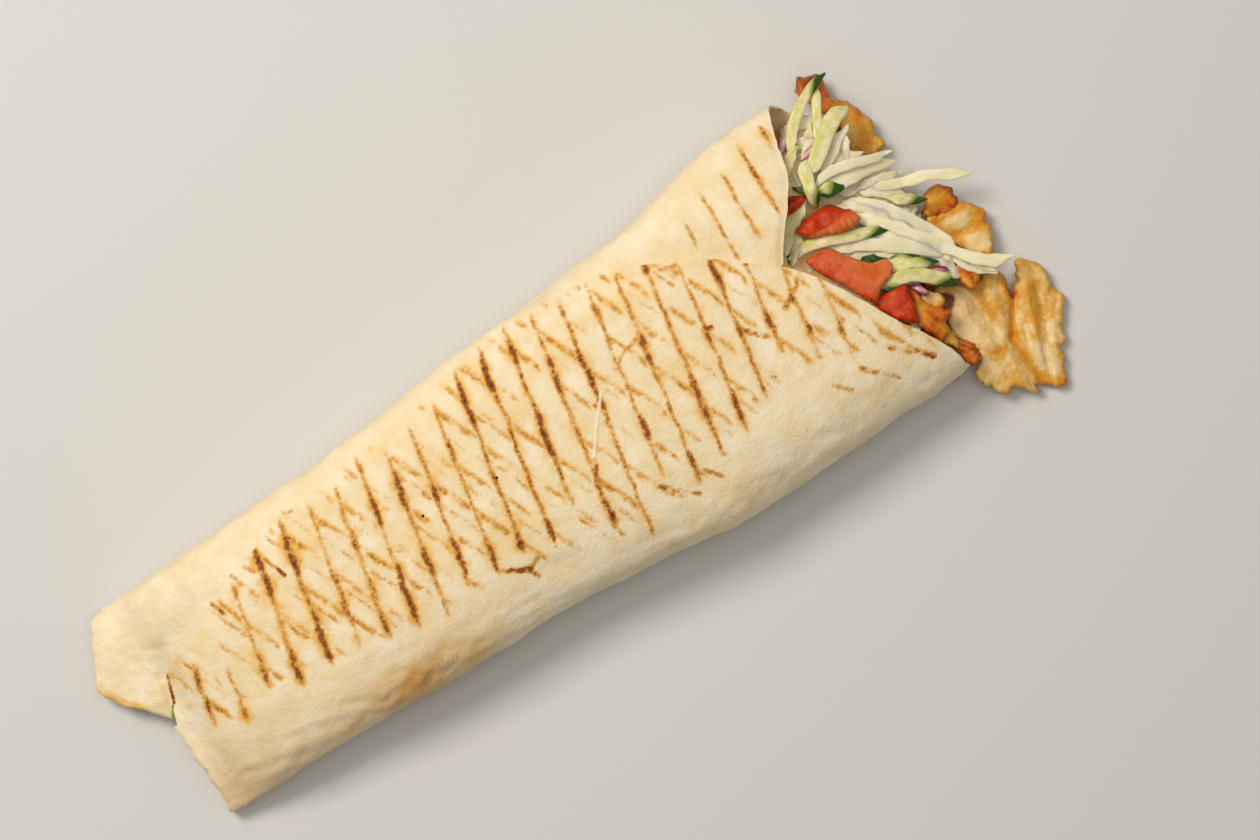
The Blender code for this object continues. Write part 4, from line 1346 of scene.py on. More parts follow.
@dataclass(frozen=True)
class SlicedCucumber:
    """Cucumber with its skin on, cut into sticks.

    The flesh is wet, pale yellow-green and lets light in. The skin shows at the sticks'
    ends, dark green with a brighter line under it.
    """

    flesh: str = "e9e3ba"
    seedy: str = "d2cf7f"
    under_skin: str = "8a9c42"
    skin: str = "35551b"
    roughness: float = 0.22

    def make(self) -> bpy.types.Material:
        """Build the material and return it."""
        made, shader, add = new_material("cut_cucumber", self.roughness, 1.36, 0.35,
                                         (1.4, 1.8, 0.6))
        peel = add("Attribute", attribute_name="peel").outputs["Fac"]
        across = add("Attribute", attribute_name="across").outputs["Fac"]
        start = add("Attribute", attribute_name="start").outputs["Fac"]
        tone = add("Attribute", attribute_name="tone").outputs["Fac"]
        spot = add("CombineXYZ", {0: start, 1: across, 2: tone})
        spread = add("VectorMath", {0: spot, 1: (0.25, 0.8, 40.0)}, operation="MULTIPLY")
        streaks = add("TexNoise", {"Vector": spread, "Scale": 1.3, "Detail": 3.0})
        # The flesh is greener on the side that faced the skin.
        mixed = add("Math", {0: across, 1: 0.16, 2: streaks}, operation="MULTIPLY_ADD")
        mixed = add("MapRange", {0: mixed, 1: 0.38, 2: 0.66})
        flesh = add("MixRGB", {0: mixed, 1: colour(self.flesh), 2: colour(self.seedy)})
        ragged = add("Math", {0: streaks, 1: 2.4, 2: peel}, operation="MULTIPLY_ADD")
        ragged = add("Math", {0: ragged, 1: 1.2}, operation="SUBTRACT")
        under = add("MapRange", {0: ragged, 1: -3.6, 2: 0.2},
                    interpolation_type="SMOOTHSTEP")
        base = add("MixRGB", {0: under, 1: flesh, 2: colour(self.under_skin)})
        outer = add("MapRange", {0: ragged, 1: -0.2, 2: 0.8},
                    interpolation_type="SMOOTHSTEP")
        base = add("MixRGB", {0: outer, 1: base, 2: colour(self.skin)})
        shader.id_data.links.new(base.outputs[0], shader.inputs["Base Color"])
        bump = add("Bump", {"Strength": 0.4, "Distance": 0.0003, "Height": streaks})
        shader.id_data.links.new(bump.outputs[0], shader.inputs["Normal"])
        return made


@dataclass(frozen=True)
class RedOnion:
    """Red onion, sliced thin: glassy pinkish white with purple edges."""

    flesh: str = "e2bcbc"
    edge: str = "8c2f55"
    roughness: float = 0.25

    def make(self) -> bpy.types.Material:
        """Build the material and return it."""
        made, shader, add = new_material("sliced_red_onion", self.roughness, 1.38, 0.2,
                                         (1.5, 0.8, 1.0))
        across = add("Attribute", attribute_name="across").outputs["Fac"]
        tone = add("Attribute", attribute_name="tone").outputs["Fac"]
        place = add("TexCoord").outputs["Object"]
        blur = add("TexNoise", {"Vector": place, "Scale": 500.0, "Detail": 2.0})
        rim = add("Math", {0: across}, operation="ABSOLUTE")
        rim = add("Math", {0: rim, 1: tone}, operation="ADD")
        rim = add("Math", {0: blur, 1: 0.7, 2: rim}, operation="MULTIPLY_ADD")
        share = add("MapRange", {0: rim, 1: 0.75, 2: 1.55})
        base = add("MixRGB", {0: share, 1: colour(self.flesh), 2: colour(self.edge)})
        shader.id_data.links.new(base.outputs[0], shader.inputs["Base Color"])
        return made


@dataclass(frozen=True)
class GarlicSauce:
    """Garlic yoghurt sauce over fine shreds of salad.

    It is creamy and wet, tinted pink and yellow where the chicken's juices ran in, and brown as
    painted shade where it lies deep.
    """

    cream: str = "f6e2b0"
    yellow: str = "e3c983"
    rosy: str = "e6c49a"
    dark: str = "a0662a"
    roughness: float = 0.3

    def make(self) -> bpy.types.Material:
        """Build the material and return it."""
        made, shader, add = new_material("garlic_yoghurt_sauce", self.roughness, 1.38, 0.2,
                                         (1.6, 1.2, 0.8))
        place = add("TexCoord").outputs["Object"]
        first = add("TexNoise", {"Vector": place, "Scale": 190.0, "Detail": 3.0})
        second = add("TexNoise", {"Vector": place, "Scale": 420.0, "Detail": 3.0})
        low = add("Attribute", attribute_name="low").outputs["Fac"]
        yellow = add("MapRange", {0: first, 1: 0.46, 2: 0.62})
        rosy = add("MapRange", {0: second, 1: 0.50, 2: 0.68, 4: 0.8})
        base = add("MixRGB", {0: yellow, 1: colour(self.cream), 2: colour(self.yellow)})
        base = add("MixRGB", {0: rosy, 1: base, 2: colour(self.rosy)})
        # Painted shade: brown where the mass lies deep below the heap's surface; at the mouth's -Y
        # side the same brown stands for juice.
        base = add("MixRGB", {0: low, 1: base, 2: colour(self.dark)})
        shader.id_data.links.new(base.outputs[0], shader.inputs["Base Color"])
        bump = add("Bump", {"Strength": 0.6, "Distance": 0.0006, "Height": second})
        shader.id_data.links.new(bump.outputs[0], shader.inputs["Normal"])
        return made


@dataclass(frozen=True)
class RoastChicken:
    """Spiced chicken thigh, roasted on an upright spit and sliced thin.

    It is moist and a little glossy, pale gold inside the slice, orange-brown where the
    marinade and the fire caught it, with fibres that run along the muscle.
    """

    name: str = "spit_roast_chicken"
    pale: str = "ebcf98"
    gold: str = "d8a542"
    amber: str = "d78f22"
    orange: str = "cc6a12"
    rust: str = "9c480c"
    burnt: str = "602706"
    roughness: float = 0.33
    fibre: float = 0.8

    def make(self) -> bpy.types.Material:
        """Build the material and return it."""
        made, shader, add = new_material(self.name, self.roughness, 1.4, 0.12,
                                         (1.6, 0.7, 0.3))
        place = add("TexCoord").outputs["Object"]
        along = add("Attribute", attribute_name="along").outputs["Fac"]
        across = add("Attribute", attribute_name="across").outputs["Fac"]
        tone = add("Attribute", attribute_name="tone").outputs["Fac"]
        edge = add("Attribute", attribute_name="edge").outputs["Fac"]
        patch = add("TexNoise", {"Vector": place, "Scale": 150.0, "Detail": 3.0})
        # The fibres wave a little to and fro across their run.
        across = add("Math", {0: patch, 1: 6.0, 2: across}, operation="MULTIPLY_ADD")
        spot = add("CombineXYZ", {0: along, 1: across})
        spread = add("VectorMath", {0: spot, 1: (0.14, 1.0 / self.fibre, 0.0)},
                     operation="MULTIPLY")
        fibres = add("TexNoise", {"Vector": spread, "Scale": 0.75, "Detail": 4.0,
                                  "Roughness": 0.62})
        bands = add("VectorMath", {0: spot, 1: (0.035, 0.2, 0.0)}, operation="MULTIPLY")
        bands = add("TexNoise", {"Vector": bands, "Scale": 1.0, "Detail": 3.0})
        spice = add("TexNoise", {"Vector": place, "Scale": 620.0, "Detail": 3.0})
        browned = add("MapRange", {0: edge, 1: 1.4, 2: 0.0, 4: 0.12})
        share = add("Math", {0: tone, 1: browned}, operation="ADD")
        for noise, weight in ((fibres, 0.32), (bands, 0.30), (spice, 0.50), (patch, 0.8)):
            share = add("Math", {0: noise, 1: weight, 2: share}, operation="MULTIPLY_ADD")
            share = add("Math", {0: share, 1: weight / 2}, operation="SUBTRACT")
        base = add("ValToRGB", {0: share}, stops=(
            (0.0, self.pale), (0.26, self.gold), (0.48, self.amber), (0.66, self.orange),
            (0.84, self.rust), (1.0, self.burnt)))
        shader.id_data.links.new(base.outputs[0], shader.inputs["Base Color"])
        height = add("Math", {0: fibres, 1: 1.0, 2: spice}, operation="MULTIPLY_ADD")
        bump = add("Bump", {"Strength": 0.6, "Distance": 0.0005, "Height": height})
        shader.id_data.links.new(bump.outputs[0], shader.inputs["Normal"])
        return made


@dataclass(frozen=True)
class CutTomato:
    """Ripe tomato in wedges: smooth red skin, and wet orange flesh where it is cut."""

    light_skin: str = "d8683a"
    skin: str = "c2380a"
    deep: str = "9e2606"
    flesh: str = "d4622a"
    streak: str = "e8945a"
    roughness: float = 0.22
    gloss: float = 0.4

    def make(self) -> bpy.types.Material:
        """Build the material and return it."""
        made, shader, add = new_material("ripe_tomato", self.roughness, 1.36, 0.12,
                                         (2.0, 0.5, 0.2))
        shader.inputs["Specular IOR Level"].default_value = self.gloss
        place = add("TexCoord").outputs["Object"]
        cut = add("Attribute", attribute_name="cut").outputs["Fac"]
        along = add("Attribute", attribute_name="along").outputs["Fac"]
        across = add("Attribute", attribute_name="across").outputs["Fac"]
        tone = add("Attribute", attribute_name="tone").outputs["Fac"]
        spot = add("CombineXYZ", {0: along, 1: across})
        spread = add("VectorMath", {0: spot, 1: (0.12, 0.7, 0.0)}, operation="MULTIPLY")
        streaks = add("TexNoise", {"Vector": spread, "Scale": 0.9, "Detail": 3.0})
        blur = add("TexNoise", {"Vector": place, "Scale": 230.0, "Detail": 4.0})
        furrowed = add("Attribute", attribute_name="furrowed").outputs["Fac"]
        mottled = add("MixRGB", {0: furrowed, 1: blur, 2: streaks})
        light = add("MapRange", {0: mottled, 1: 0.40, 2: 0.72})
        flesh = add("MixRGB", {0: light, 1: colour(self.flesh), 2: colour(self.streak)})
        share = add("Math", {0: blur, 1: 2.2, 2: tone}, operation="MULTIPLY_ADD")
        share = add("Math", {0: share, 1: 1.1}, operation="SUBTRACT")
        skin = add("ValToRGB", {0: share}, stops=(
            (0.0, self.light_skin), (0.45, self.skin), (1.0, self.deep)))
        base = add("MixRGB", {0: cut, 1: skin, 2: flesh})
        shader.id_data.links.new(base.outputs[0], shader.inputs["Base Color"])
        wet = add("TexNoise", {"Vector": place, "Scale": 520.0, "Detail": 3.0})
        rough = add("Math", {0: mottled, 1: cut, 2: wet}, operation="MULTIPLY_ADD")
        bump = add("Bump", {"Strength": 0.6, "Distance": 0.0006, "Height": rough})
        shader.id_data.links.new(bump.outputs[0], shader.inputs["Normal"])
        return made


@dataclass(frozen=True)
class BurntCrumb:
    """Bits of dough burnt to charcoal on the grill: matt and almost black."""

    black: str = "1d140d"
    brown: str = "3f2714"

    def make(self) -> bpy.types.Material:
        """Build the material and return it."""
        made, shader, add = new_material("burnt_crumb", 0.8)
        place = add("TexCoord").outputs["Object"]
        blur = add("TexNoise", {"Vector": place, "Scale": 1500.0})
        base = add("MixRGB", {0: blur, 1: colour(self.black), 2: colour(self.brown)})
        shader.id_data.links.new(base.outputs[0], shader.inputs["Base Color"])
        return made


# ---------------------------------------------------------------- salad


@dataclass(frozen=True)
class Strip:
    """One shred or stick that lies on the salad.

    path holds x and y in the plan and the height over the heap; skin_start and skin_end
    say over what length a cucumber's skin covers either end.
    """

    path: tuple
    width: float
    thick: float = 1.6
    tone: float = 0.3
    skin_start: float = 0.0
    skin_end: float = 0.0


@dataclass(frozen=True)
class Shredding:
    """How one vegetable was cut, and what its shreds look like from end to end.

    bow is how far their edges turn down and uneven how much their width changes, both as
    shares of the width. flatness scales their thickness, narrowed the width of their
    ends, slant is how far the cuts at their ends run aslant, and lift raises them.
    """

    bow: float
    squareness: float
    uneven: float
    flatness: float
    narrowed: float
    slant: float
    lift: float


@dataclass
class Salad:
    """The salad that fills the roll's upper half and spills from its mouth."""

    filling: Filling
    cabbage: tuple = (
        Strip(((106, 25.5, 1), (112, 25.5, 2), (119, 25, 2.2), (126, 23.5, 2),
               (131, 22.5, 1.5)), 6.0, 1.8, 0.1),
        Strip(((107, 28.6, 2.4), (113, 29.2, 3), (119, 28, 2.8), (125, 26, 2.4),
               (131.5, 23.8, 2)), 3.2, 1.5, 0.0),
        Strip(((112, 30.5, 2), (117, 33.5, 2.4), (121, 36.5, 2.2), (124.5, 38.5, 1.6)),
              3.0, 1.3, 0.2),
        Strip(((119, 29.5, 1), (122, 34, 1.5), (124.5, 37, 1)), 3.5, 1.3, 0.1),
        Strip(((121, 18, 1.5), (127, 15.2, 2.6), (133, 13, 3), (139, 11.3, 2.6),
               (145, 7.6, 1.2), (149.8, 5.6, 0)), 3.8, 2.0, 0.15),
        Strip(((118, 20.5, 1.8), (124, 19, 2.2), (129, 17.5, 1.6), (131, 16.5, 0.5)), 3.0,
              1.4, 0.3),
        Strip(((99, 9.2, 1), (104, 7, 2.2), (109, 4.3, 2.8), (114, 0.8, 3.2),
               (120, -3.6, 3.4), (126, -8.5, 3.2), (130, -12, 2.6)), 4.6, 1.8, 0.1),
        Strip(((111, 13.5, 2), (116, 9, 3.4), (121, 3.2, 4), (126, -3.8, 4.2),
               (131, -11, 4), (136, -18, 3.4), (141, -22.6, 2.2), (146.3, -25.5, 0.8)),
              4.0, 1.8, 0.05),
        Strip(((114, 17, 1.5), (119, 12.5, 2.8), (124, 6, 3.4), (128, -1, 3.2),
               (132, -9, 2.6), (134, -14, 1.6)), 4.4, 1.6, 0.0),
        Strip(((109, 19, 1), (114, 15.5, 2.2), (119, 9.5, 2.6), (123, 3.5, 2.4),
               (127, -4, 2)), 3.6, 1.5, 0.2),
        Strip(((127, -9, 2), (129, -14, 2.2), (130.5, -18, 1.4)), 4.0, 1.5, 0.2),
        Strip(((110, 47.5, 0.5), (115, 46.5, 1.2), (120, 44, 1.2), (123.5, 42, 0.8)), 3.5,
              1.4, 0.2),
        Strip(((108, 43.5, 0.8), (113, 41.5, 1.4), (118, 41.5, 1.2)), 3.0, 1.4, 0.3),
        Strip(((96, 14.2, 0.6), (102, 12.6, 1.4), (108, 9.6, 1.6)), 3.0, 1.4, 0.4),
        Strip(((133, -17, 1.2), (137, -20.5, 1.4), (140, -24, 0.8)), 4.0, 1.4, 0.3),
        Strip(((108, 14, 0.6), (113, 12.5, 1.4), (119, 6, 1.8), (124, -1, 1.6),
               (128, -8, 1)), 5.0, 1.5, 0.3),
        Strip(((117, 21, 0.6), (121, 17, 1.4), (126, 13, 1.4), (130, 10, 0.6)), 4.6, 1.4, 0.2),
        Strip(((104, 3.5, 0.4), (109, 0.5, 1.2), (115, -5, 1.8), (121, -11, 1.6)), 5.0, 1.5,
              0.35),
        Strip(((111, 22.5, 0.8), (117, 21, 1.6), (123, 20.5, 1.6), (127, 21, 0.6)), 4.2, 1.4,
              0.15),
        Strip(((116, 1, 0.6), (121, -4, 1.6), (126, -12, 1.4)), 4.6, 1.5, 0.1),
        Strip(((112, 5.5, 1.6), (117, 1.5, 2.4), (121.5, -3, 2.6), (126, -8.6, 2.2)), 5.6,
              1.6, 0.0),
        Strip(((116, 15, 1.2), (120.5, 9.6, 2.4), (124.5, 3.5, 2.4), (128, -3.5, 2.0)), 5.2,
              1.5, 0.05),
        Strip(((113, 34.5, 0.5), (118, 31.5, 1.2), (124, 30, 0.8)), 4.0, 1.3, 0.25),
        Strip(((128, -9, 1.6), (132, -15, 1.4), (135.5, -20.5, 1), (138.4, -26, 0)), 5.0, 1.4, 0.1),
        Strip(((125, -12, 1.2), (128, -17, 1.2), (130, -20, 0.6)), 4.4, 1.4, 0.2),
        Strip(((108, 35, 0.5), (112, 40, 1.2), (116, 44, 1.2)), 3.4, 1.3, 0.3),
    )
    cucumber: tuple = (
        Strip(((106.5, 41.5, 1.6), (110, 46.5, 2.8), (115, 50.8, 3.6), (120, 53.8, 3.2),
               (127.8, 56.8, 1.2)), 3.6, 2.6, 0.2, 0, 7),
        Strip(((114.5, 38.5, 2.2), (118, 44, 3.4), (121.5, 50, 3.6), (124.6, 54.2, 2)),
              3.0, 2.2, 0.3, 0, 1.5),
        Strip(((107, 31.5, 2.6), (112.5, 35.5, 3.6), (118, 39.5, 4), (123, 42.8, 3.4),
               (127.8, 44.3, 2)), 5.2, 3.0, 0.1),
        Strip(((101.5, 37, 1.4), (104.5, 39.5, 2.2), (108, 40.5, 2.4)), 4.0, 2.0, 0.5),
        Strip(((104.3, 22.5, 3.2), (104.8, 27, 3.6), (106, 32, 3.2), (107.5, 37.5, 2.2)),
              4.6, 2.6, 0.3, 4.0),
        Strip(((101.3, 31, 1.6), (103.3, 28, 2.6), (104.5, 24.5, 2.8)), 2.6, 2.0, 0.2, 9, 9),
        Strip(((106.3, 24.6, 3.2), (110, 24.5, 3.6), (113.6, 24, 3)), 4.8, 2.6, 0.4, 2.5, 5),
        Strip(((86.5, 15.5, 0.6), (90.5, 20, 1.6), (95, 23, 2.0), (101.5, 25.2, 1.8)), 5.6, 2.2,
              0.45),
        Strip(((87, 12.2, 0.4), (93, 13.2, 1.8), (100, 11.4, 2.8), (107, 8.4, 3.2),
               (113, 6.3, 3), (118.3, 4.5, 2)), 3.8, 2.6, 0.3, 0, 5),
        Strip(((84.5, 11.5, -1), (88, 12.8, 0.6), (92, 16, 1.2), (95, 18.5, 1)), 4.0, 2.2,
              0.7, 4.0),
        Strip(((107, -0.6, 1), (109.5, -1.4, 1.8), (112.3, -2.8, 1.6)), 2.6, 2.0, 0.3, 9, 9),
        Strip(((113, -4.2, 1.2), (117, -6.6, 2), (121, -8.8, 1.8)), 3.0, 2.0, 0.4, 1.5, 2),
        Strip(((106, -11.8, 2.6), (109, -11.6, 3.4), (114, -11.6, 3.8), (119, -14, 3.8),
               (123.5, -18, 3.2), (127.8, -22, 2)), 4.4, 2.6, 0.1, 3.5, 5),
        Strip(((112, -7, 1.8), (117, -8.6, 2.8), (121, -10.6, 2.8), (125.3, -13.6, 1.8)),
              3.6, 2.2, 0.3, 0, 3.5),
        Strip(((124, 11.5, 1), (128.5, 8.6, 2), (133.6, 6.2, 1.4)), 3.6, 2.2, 0.3, 0, 3.5),
    )
    onion: tuple = (
        Strip(((103, 42.2, 1.2), (105, 44.6, 1.8), (107, 46, 1.6)), 2.8, 1.3, 0.25),
        Strip(((107.8, 37.6, 3), (111.5, 38.2, 3.4), (115.2, 38.8, 3)), 2.2, 1.2, 0.15),
        Strip(((115.2, -16.6, 1.6), (117, -18.2, 2), (118.6, -19.6, 1.6)), 3.0, 1.3, 0.5),
        Strip(((122.3, -14.8, 1.2), (125, -15.8, 1.6), (127, -17.6, 1.2)), 3.2, 1.3, 0.7),
    )
    core_steps: tuple = (-143, -130, -105, -80, -50, -20, 10, 40, 65, 76)
    edge_minus_x: tuple = (84, 94, 102, 110, 116, 122, 130.5)
    edge_minus: tuple = (-50, -34, -31, -29, -16, -15, -13)
    edge_plus_x: tuple = (90, 98, 104, 112, 117, 119.5, 121.5, 124, 130.5)
    edge_plus: tuple = (60, 49, 47, 49, 48, 39, 30, 25, 20)
    shred_count: int = 150
    hanging_count: int = 90
    end_x: float = 129.0
    lift: float = 0.9
    skin_slant: float = 3.4

    def build(self) -> None:
        """Build the salad in place of its plain solid."""
        core = self.build_core(GarlicSauce().make())
        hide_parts("salad")
        cabbage = WhiteCabbage().make()
        self.build_strips("cabbage_shreds", self.cabbage, cabbage,
                          Shredding(0.05, 4.6, 0.22, 0.36, 0.75, 2.4, -0.55))
        self.build_strips("cucumber_sticks", self.cucumber, SlicedCucumber().make(),
                          Shredding(0.0, 3.8, 0.12, 0.72, 0.62, 1.8, 0.0))
        self.build_strips("onion_slivers", self.onion, RedOnion().make(),
                          Shredding(0.12, 2.6, 0.2, 0.8, 0.5, 1.5, 0.4))
        self.build_shreds("fine_shreds", cabbage)

    def build_core(self, look: bpy.types.Material) -> bpy.types.Object:
        """Build the mass of sauce and salad that the shreds lie on."""
        minus = smooth_curve(self.edge_minus_x, self.edge_minus)
        plus = smooth_curve(self.edge_plus_x, self.edge_plus)
        rings = []
        for x in (*self.core_steps, *np.arange(78.0, self.end_x, 1.0)):
            y = self.filling.across(x, 64, float(minus(x)), float(plus(x)))
            low, high = self.filling.inside(x, y)
            base = np.maximum(self.filling.chicken(x) + 0.7, 10.6 if x > 109 else 0.0)
            base = np.clip(base, low + 1.5, high - 1.5)
            swell = soft_noise(x, y, 5.0, 41) * 0.8 + soft_noise(x, y, 2.2, 42) * 0.45
            end = (self.end_x - x) / 5.0
            heap = self.filling.level(x, y) + 0.1 + swell - 2.5 * (1 - ease(end))
            top = np.maximum(np.minimum(heap, high), base + 0.8)
            # The heap falls off at both its sides.
            side = np.minimum(y - y[0], y[-1] - y)
            top = base + (top - base) * np.sqrt(1 - (1 - np.clip(side / 4.0, 0, 1)) ** 2)
            ring_y = np.concatenate([y, y[-2:0:-1]])
            ring_z = np.concatenate([top, base[-2:0:-1]])
            rings.append(np.stack([np.full(len(ring_y), x), ring_y, ring_z], axis=1)[::-1])
        core = Parts()
        rings = np.array(rings)
        # low is painted shade where the mass lies over 2.2 mm below the heap's level, under the
        # shreds and the bread; juicy adds the juice brown at the mouth's -Y side.
        level = self.filling.level(rings[..., 0], rings[..., 1]) - rings[..., 2]
        juicy = ease((-12.0 - rings[..., 1]) / 4.0) * ease((rings[..., 0] - 96.0) / 4.0)
        loft(core, rings, low=np.maximum(np.clip((level - 2.2) / 3.0, 0.0, 1.0), juicy).ravel())
        return core.build("salad_in_sauce", look, "mixed_salad")

    def build_strips(self, name: str, strips: Sequence[Strip], look: bpy.types.Material,
                     cut: Shredding) -> None:
        """Build the larger shreds of one vegetable as one piece.

        Args:
            name: the piece's name.
            strips: the shreds.
            look: their material.
            cut: how they were cut.
        """
        parts = Parts()
        for number, strip in enumerate(strips):
            corners = np.array(strip.path, float)
            path = smooth_path(corners, 12 * len(corners))
            level = self.filling.level(path[:, 0], path[:, 1]) + path[:, 2]
            path = EYE.place(path[:, 0], path[:, 1], level + self.lift + cut.lift)
            at = np.arange(len(path)) * 0.5
            ends = ease(np.minimum(at, at[-1] - at) / 5.0)
            width = strip.width * (1.0 + cut.uneven * soft_noise(at, number * 7.3, 3.0, 51))
            width *= cut.narrowed + (1 - cut.narrowed) * ends
            thick = strip.thick * (1.0 + 0.15 * soft_noise(at, number * 7.3, 2.5, 52))
            thick *= cut.flatness
            path[:, 2] += 0.25 * soft_noise(at, number * 7.3, 3.5, 53)
            run = np.linalg.norm(np.diff(path, axis=0), axis=1).sum()
            first = len(parts.points)
            side = 1 if number % 2 else -1
            ribbon(parts, path, width, thick, cut.bow, 16, cut.squareness, side * cut.slant,
                   tone=strip.tone)
            start = parts.marks["start"][first]
            slant = self.skin_slant * (side * parts.marks["across"][first] - 0.35)
            bare = -9.0
            peel = np.maximum(strip.skin_start - start if strip.skin_start else bare,
                              strip.skin_end - (run - start) if strip.skin_end else bare)
            peel = peel + slant
            parts.marks.setdefault("peel", []).append(np.clip(peel, -6.0, 4.0))
        parts.build(name, look, "mixed_salad")

    def build_shreds(self, name: str, look: bpy.types.Material) -> None:
        """Build the many fine shreds that the larger ones lie on."""
        chance = np.random.default_rng(7)
        minus = smooth_curve(self.edge_minus_x, self.edge_minus)
        plus = smooth_curve(self.edge_plus_x, self.edge_plus)
        parts = Parts()
        for number in range(self.shred_count):
            x = chance.uniform(92.0, 126.0)
            y = chance.uniform(float(minus(x)) + 3.0, float(plus(x)) - 3.0)
            way = math.radians(chance.normal(-35.0 if y < 26 else 25.0, 28.0))
            length = chance.uniform(7.0, 17.0)
            t = np.linspace(-0.5, 0.5, 22)
            bend = chance.uniform(-0.5, 0.5)
            angle = way + bend * t
            px = x + np.cumsum(np.cos(angle)) * length / len(t) - length / 2 * math.cos(way)
            py = y + np.cumsum(np.sin(angle)) * length / len(t) - length / 2 * math.sin(way)
            py = np.clip(py, minus(px) + 1.0, plus(px) - 1.0)
            level = self.filling.level(px, py) + chance.uniform(-0.6, 0.5)
            level += 0.5 * soft_noise(px, py, 4.0, 60 + number % 5)
            path = np.stack([px, py, level], axis=1)
            width = np.full(len(t), chance.uniform(1.1, 2.6))
            thick = np.full(len(t), chance.uniform(0.45, 0.8))
            ribbon(parts, path, width, thick, 0.1, 8, 2.2, tone=chance.uniform(0.1, 1.0))
        self.add_hanging_shreds(parts)
        parts.build(name, look, "mixed_salad")

    def add_hanging_shreds(self, parts: Parts) -> None:
        """Add the shreds that hang down the heap's sides and over its end."""
        chance = np.random.default_rng(9)
        minus = smooth_curve(self.edge_minus_x, self.edge_minus)
        plus = smooth_curve(self.edge_plus_x, self.edge_plus)
        t = np.linspace(0.0, 1.0, 16)
        for number in range(self.hanging_count):
            if number % 3 == 0:
                x = chance.uniform(122.0, 125.0) + t * chance.uniform(5.0, 7.0)
                y = chance.uniform(-11.0, 18.0) + t * chance.uniform(-3.0, 3.0)
                fall = np.clip((x - 124.0) / 6.0, 0.0, 1.0)
            else:
                x = chance.uniform(103.0, 122.0) + t * chance.uniform(2.0, 8.0)
                out = t * chance.uniform(3.0, 5.5) - 4.0
                y = plus(x) + out if number % 3 == 1 else minus(x) - out
                fall = np.clip((out + 4.0) / 5.0, 0.0, 1.0)
            top = self.filling.level(x, y)
            base = np.maximum(self.filling.chicken(x) + 0.7, 10.6)
            z = base + (top - base) * np.sqrt(1 - fall ** 2) + chance.uniform(0.0, 0.6)
            path = np.stack([x, y, z], axis=1)
            width = np.full(len(t), chance.uniform(1.2, 2.8))
            ribbon(parts, path, width, width * 0.25, 0.1, 8, 2.2, tone=chance.uniform(0.1, 0.9))


# ---------------------------------------------------------------- chicken


@dataclass(frozen=True)
class StainAndShade:
    """A darker or paler place on a slice, from one point to another: some are the meat's own stains,
    some painted highlight and painted shade.
    """

    start: tuple
    end: tuple
    reach: float
    tone: float


@dataclass(frozen=True)
class Slice:
    """One slice of chicken: its outline in the plan, and how it lies, in millimetres.

    grain is the direction of its fibres in degrees, or the point that they spread from.
    """

    name: str
    outline: tuple
    low: float
    thick: float
    lean: tuple = (0.0, 0.0)
    grain: Any = -60.0
    ridge: float = 0.7
    tone: float = 0.3
    stains_and_shades: tuple = ()
    grooves: tuple = ()
    ridge_gap: float = 2.6
    least_height: float = 0.3

    def add_to(self, parts: Parts, seed: int) -> None:
        """Add the slice to a piece.

        Args:
            parts: gathers the piece.
            seed: which random fields the slice takes.
        """
        cut = Cut(self.outline, 0.75, 0.6, 1.7, seed)
        x, y = cut.plan.T
        if isinstance(self.grain, tuple):
            dx, dy = x - self.grain[0], y - self.grain[1]
            along = np.hypot(dx, dy)
            across = np.arctan2(dx, dy) * 45.0
        else:
            way = math.radians(self.grain)
            along = x * math.cos(way) + y * math.sin(way)
            across = y * math.cos(way) - x * math.sin(way)
        middle = np.mean(np.array(self.outline), axis=0)
        low = self.low + self.lean[0] * (x - middle[0]) + self.lean[1] * (y - middle[1])
        swell = soft_noise(x, y, 9.0, seed + 1) * 0.9
        low = np.maximum(low + swell, self.least_height)
        tone = np.full(len(x), self.tone)
        for tone_mark in self.stains_and_shades:
            tone += tone_mark.tone * bell(from_line(x, y, tone_mark.start, tone_mark.end), tone_mark.reach)
        relief = soft_noise(along / 7.0, across, self.ridge_gap, seed + 2) * self.ridge
        relief += soft_noise(along / 4.0, across, 1.1, seed + 3) * self.ridge * 0.35
        for groove in self.grooves:
            relief += groove.tone * bell(from_line(x, y, groove.start, groove.end),
                                         groove.reach)
        thick = np.full(len(x), self.thick) + soft_noise(x, y, 6.0, seed + 4) * 0.5
        cut.slab(parts, low, thick, 1.2, relief, along=along, across=across + seed,
                 tone=tone)


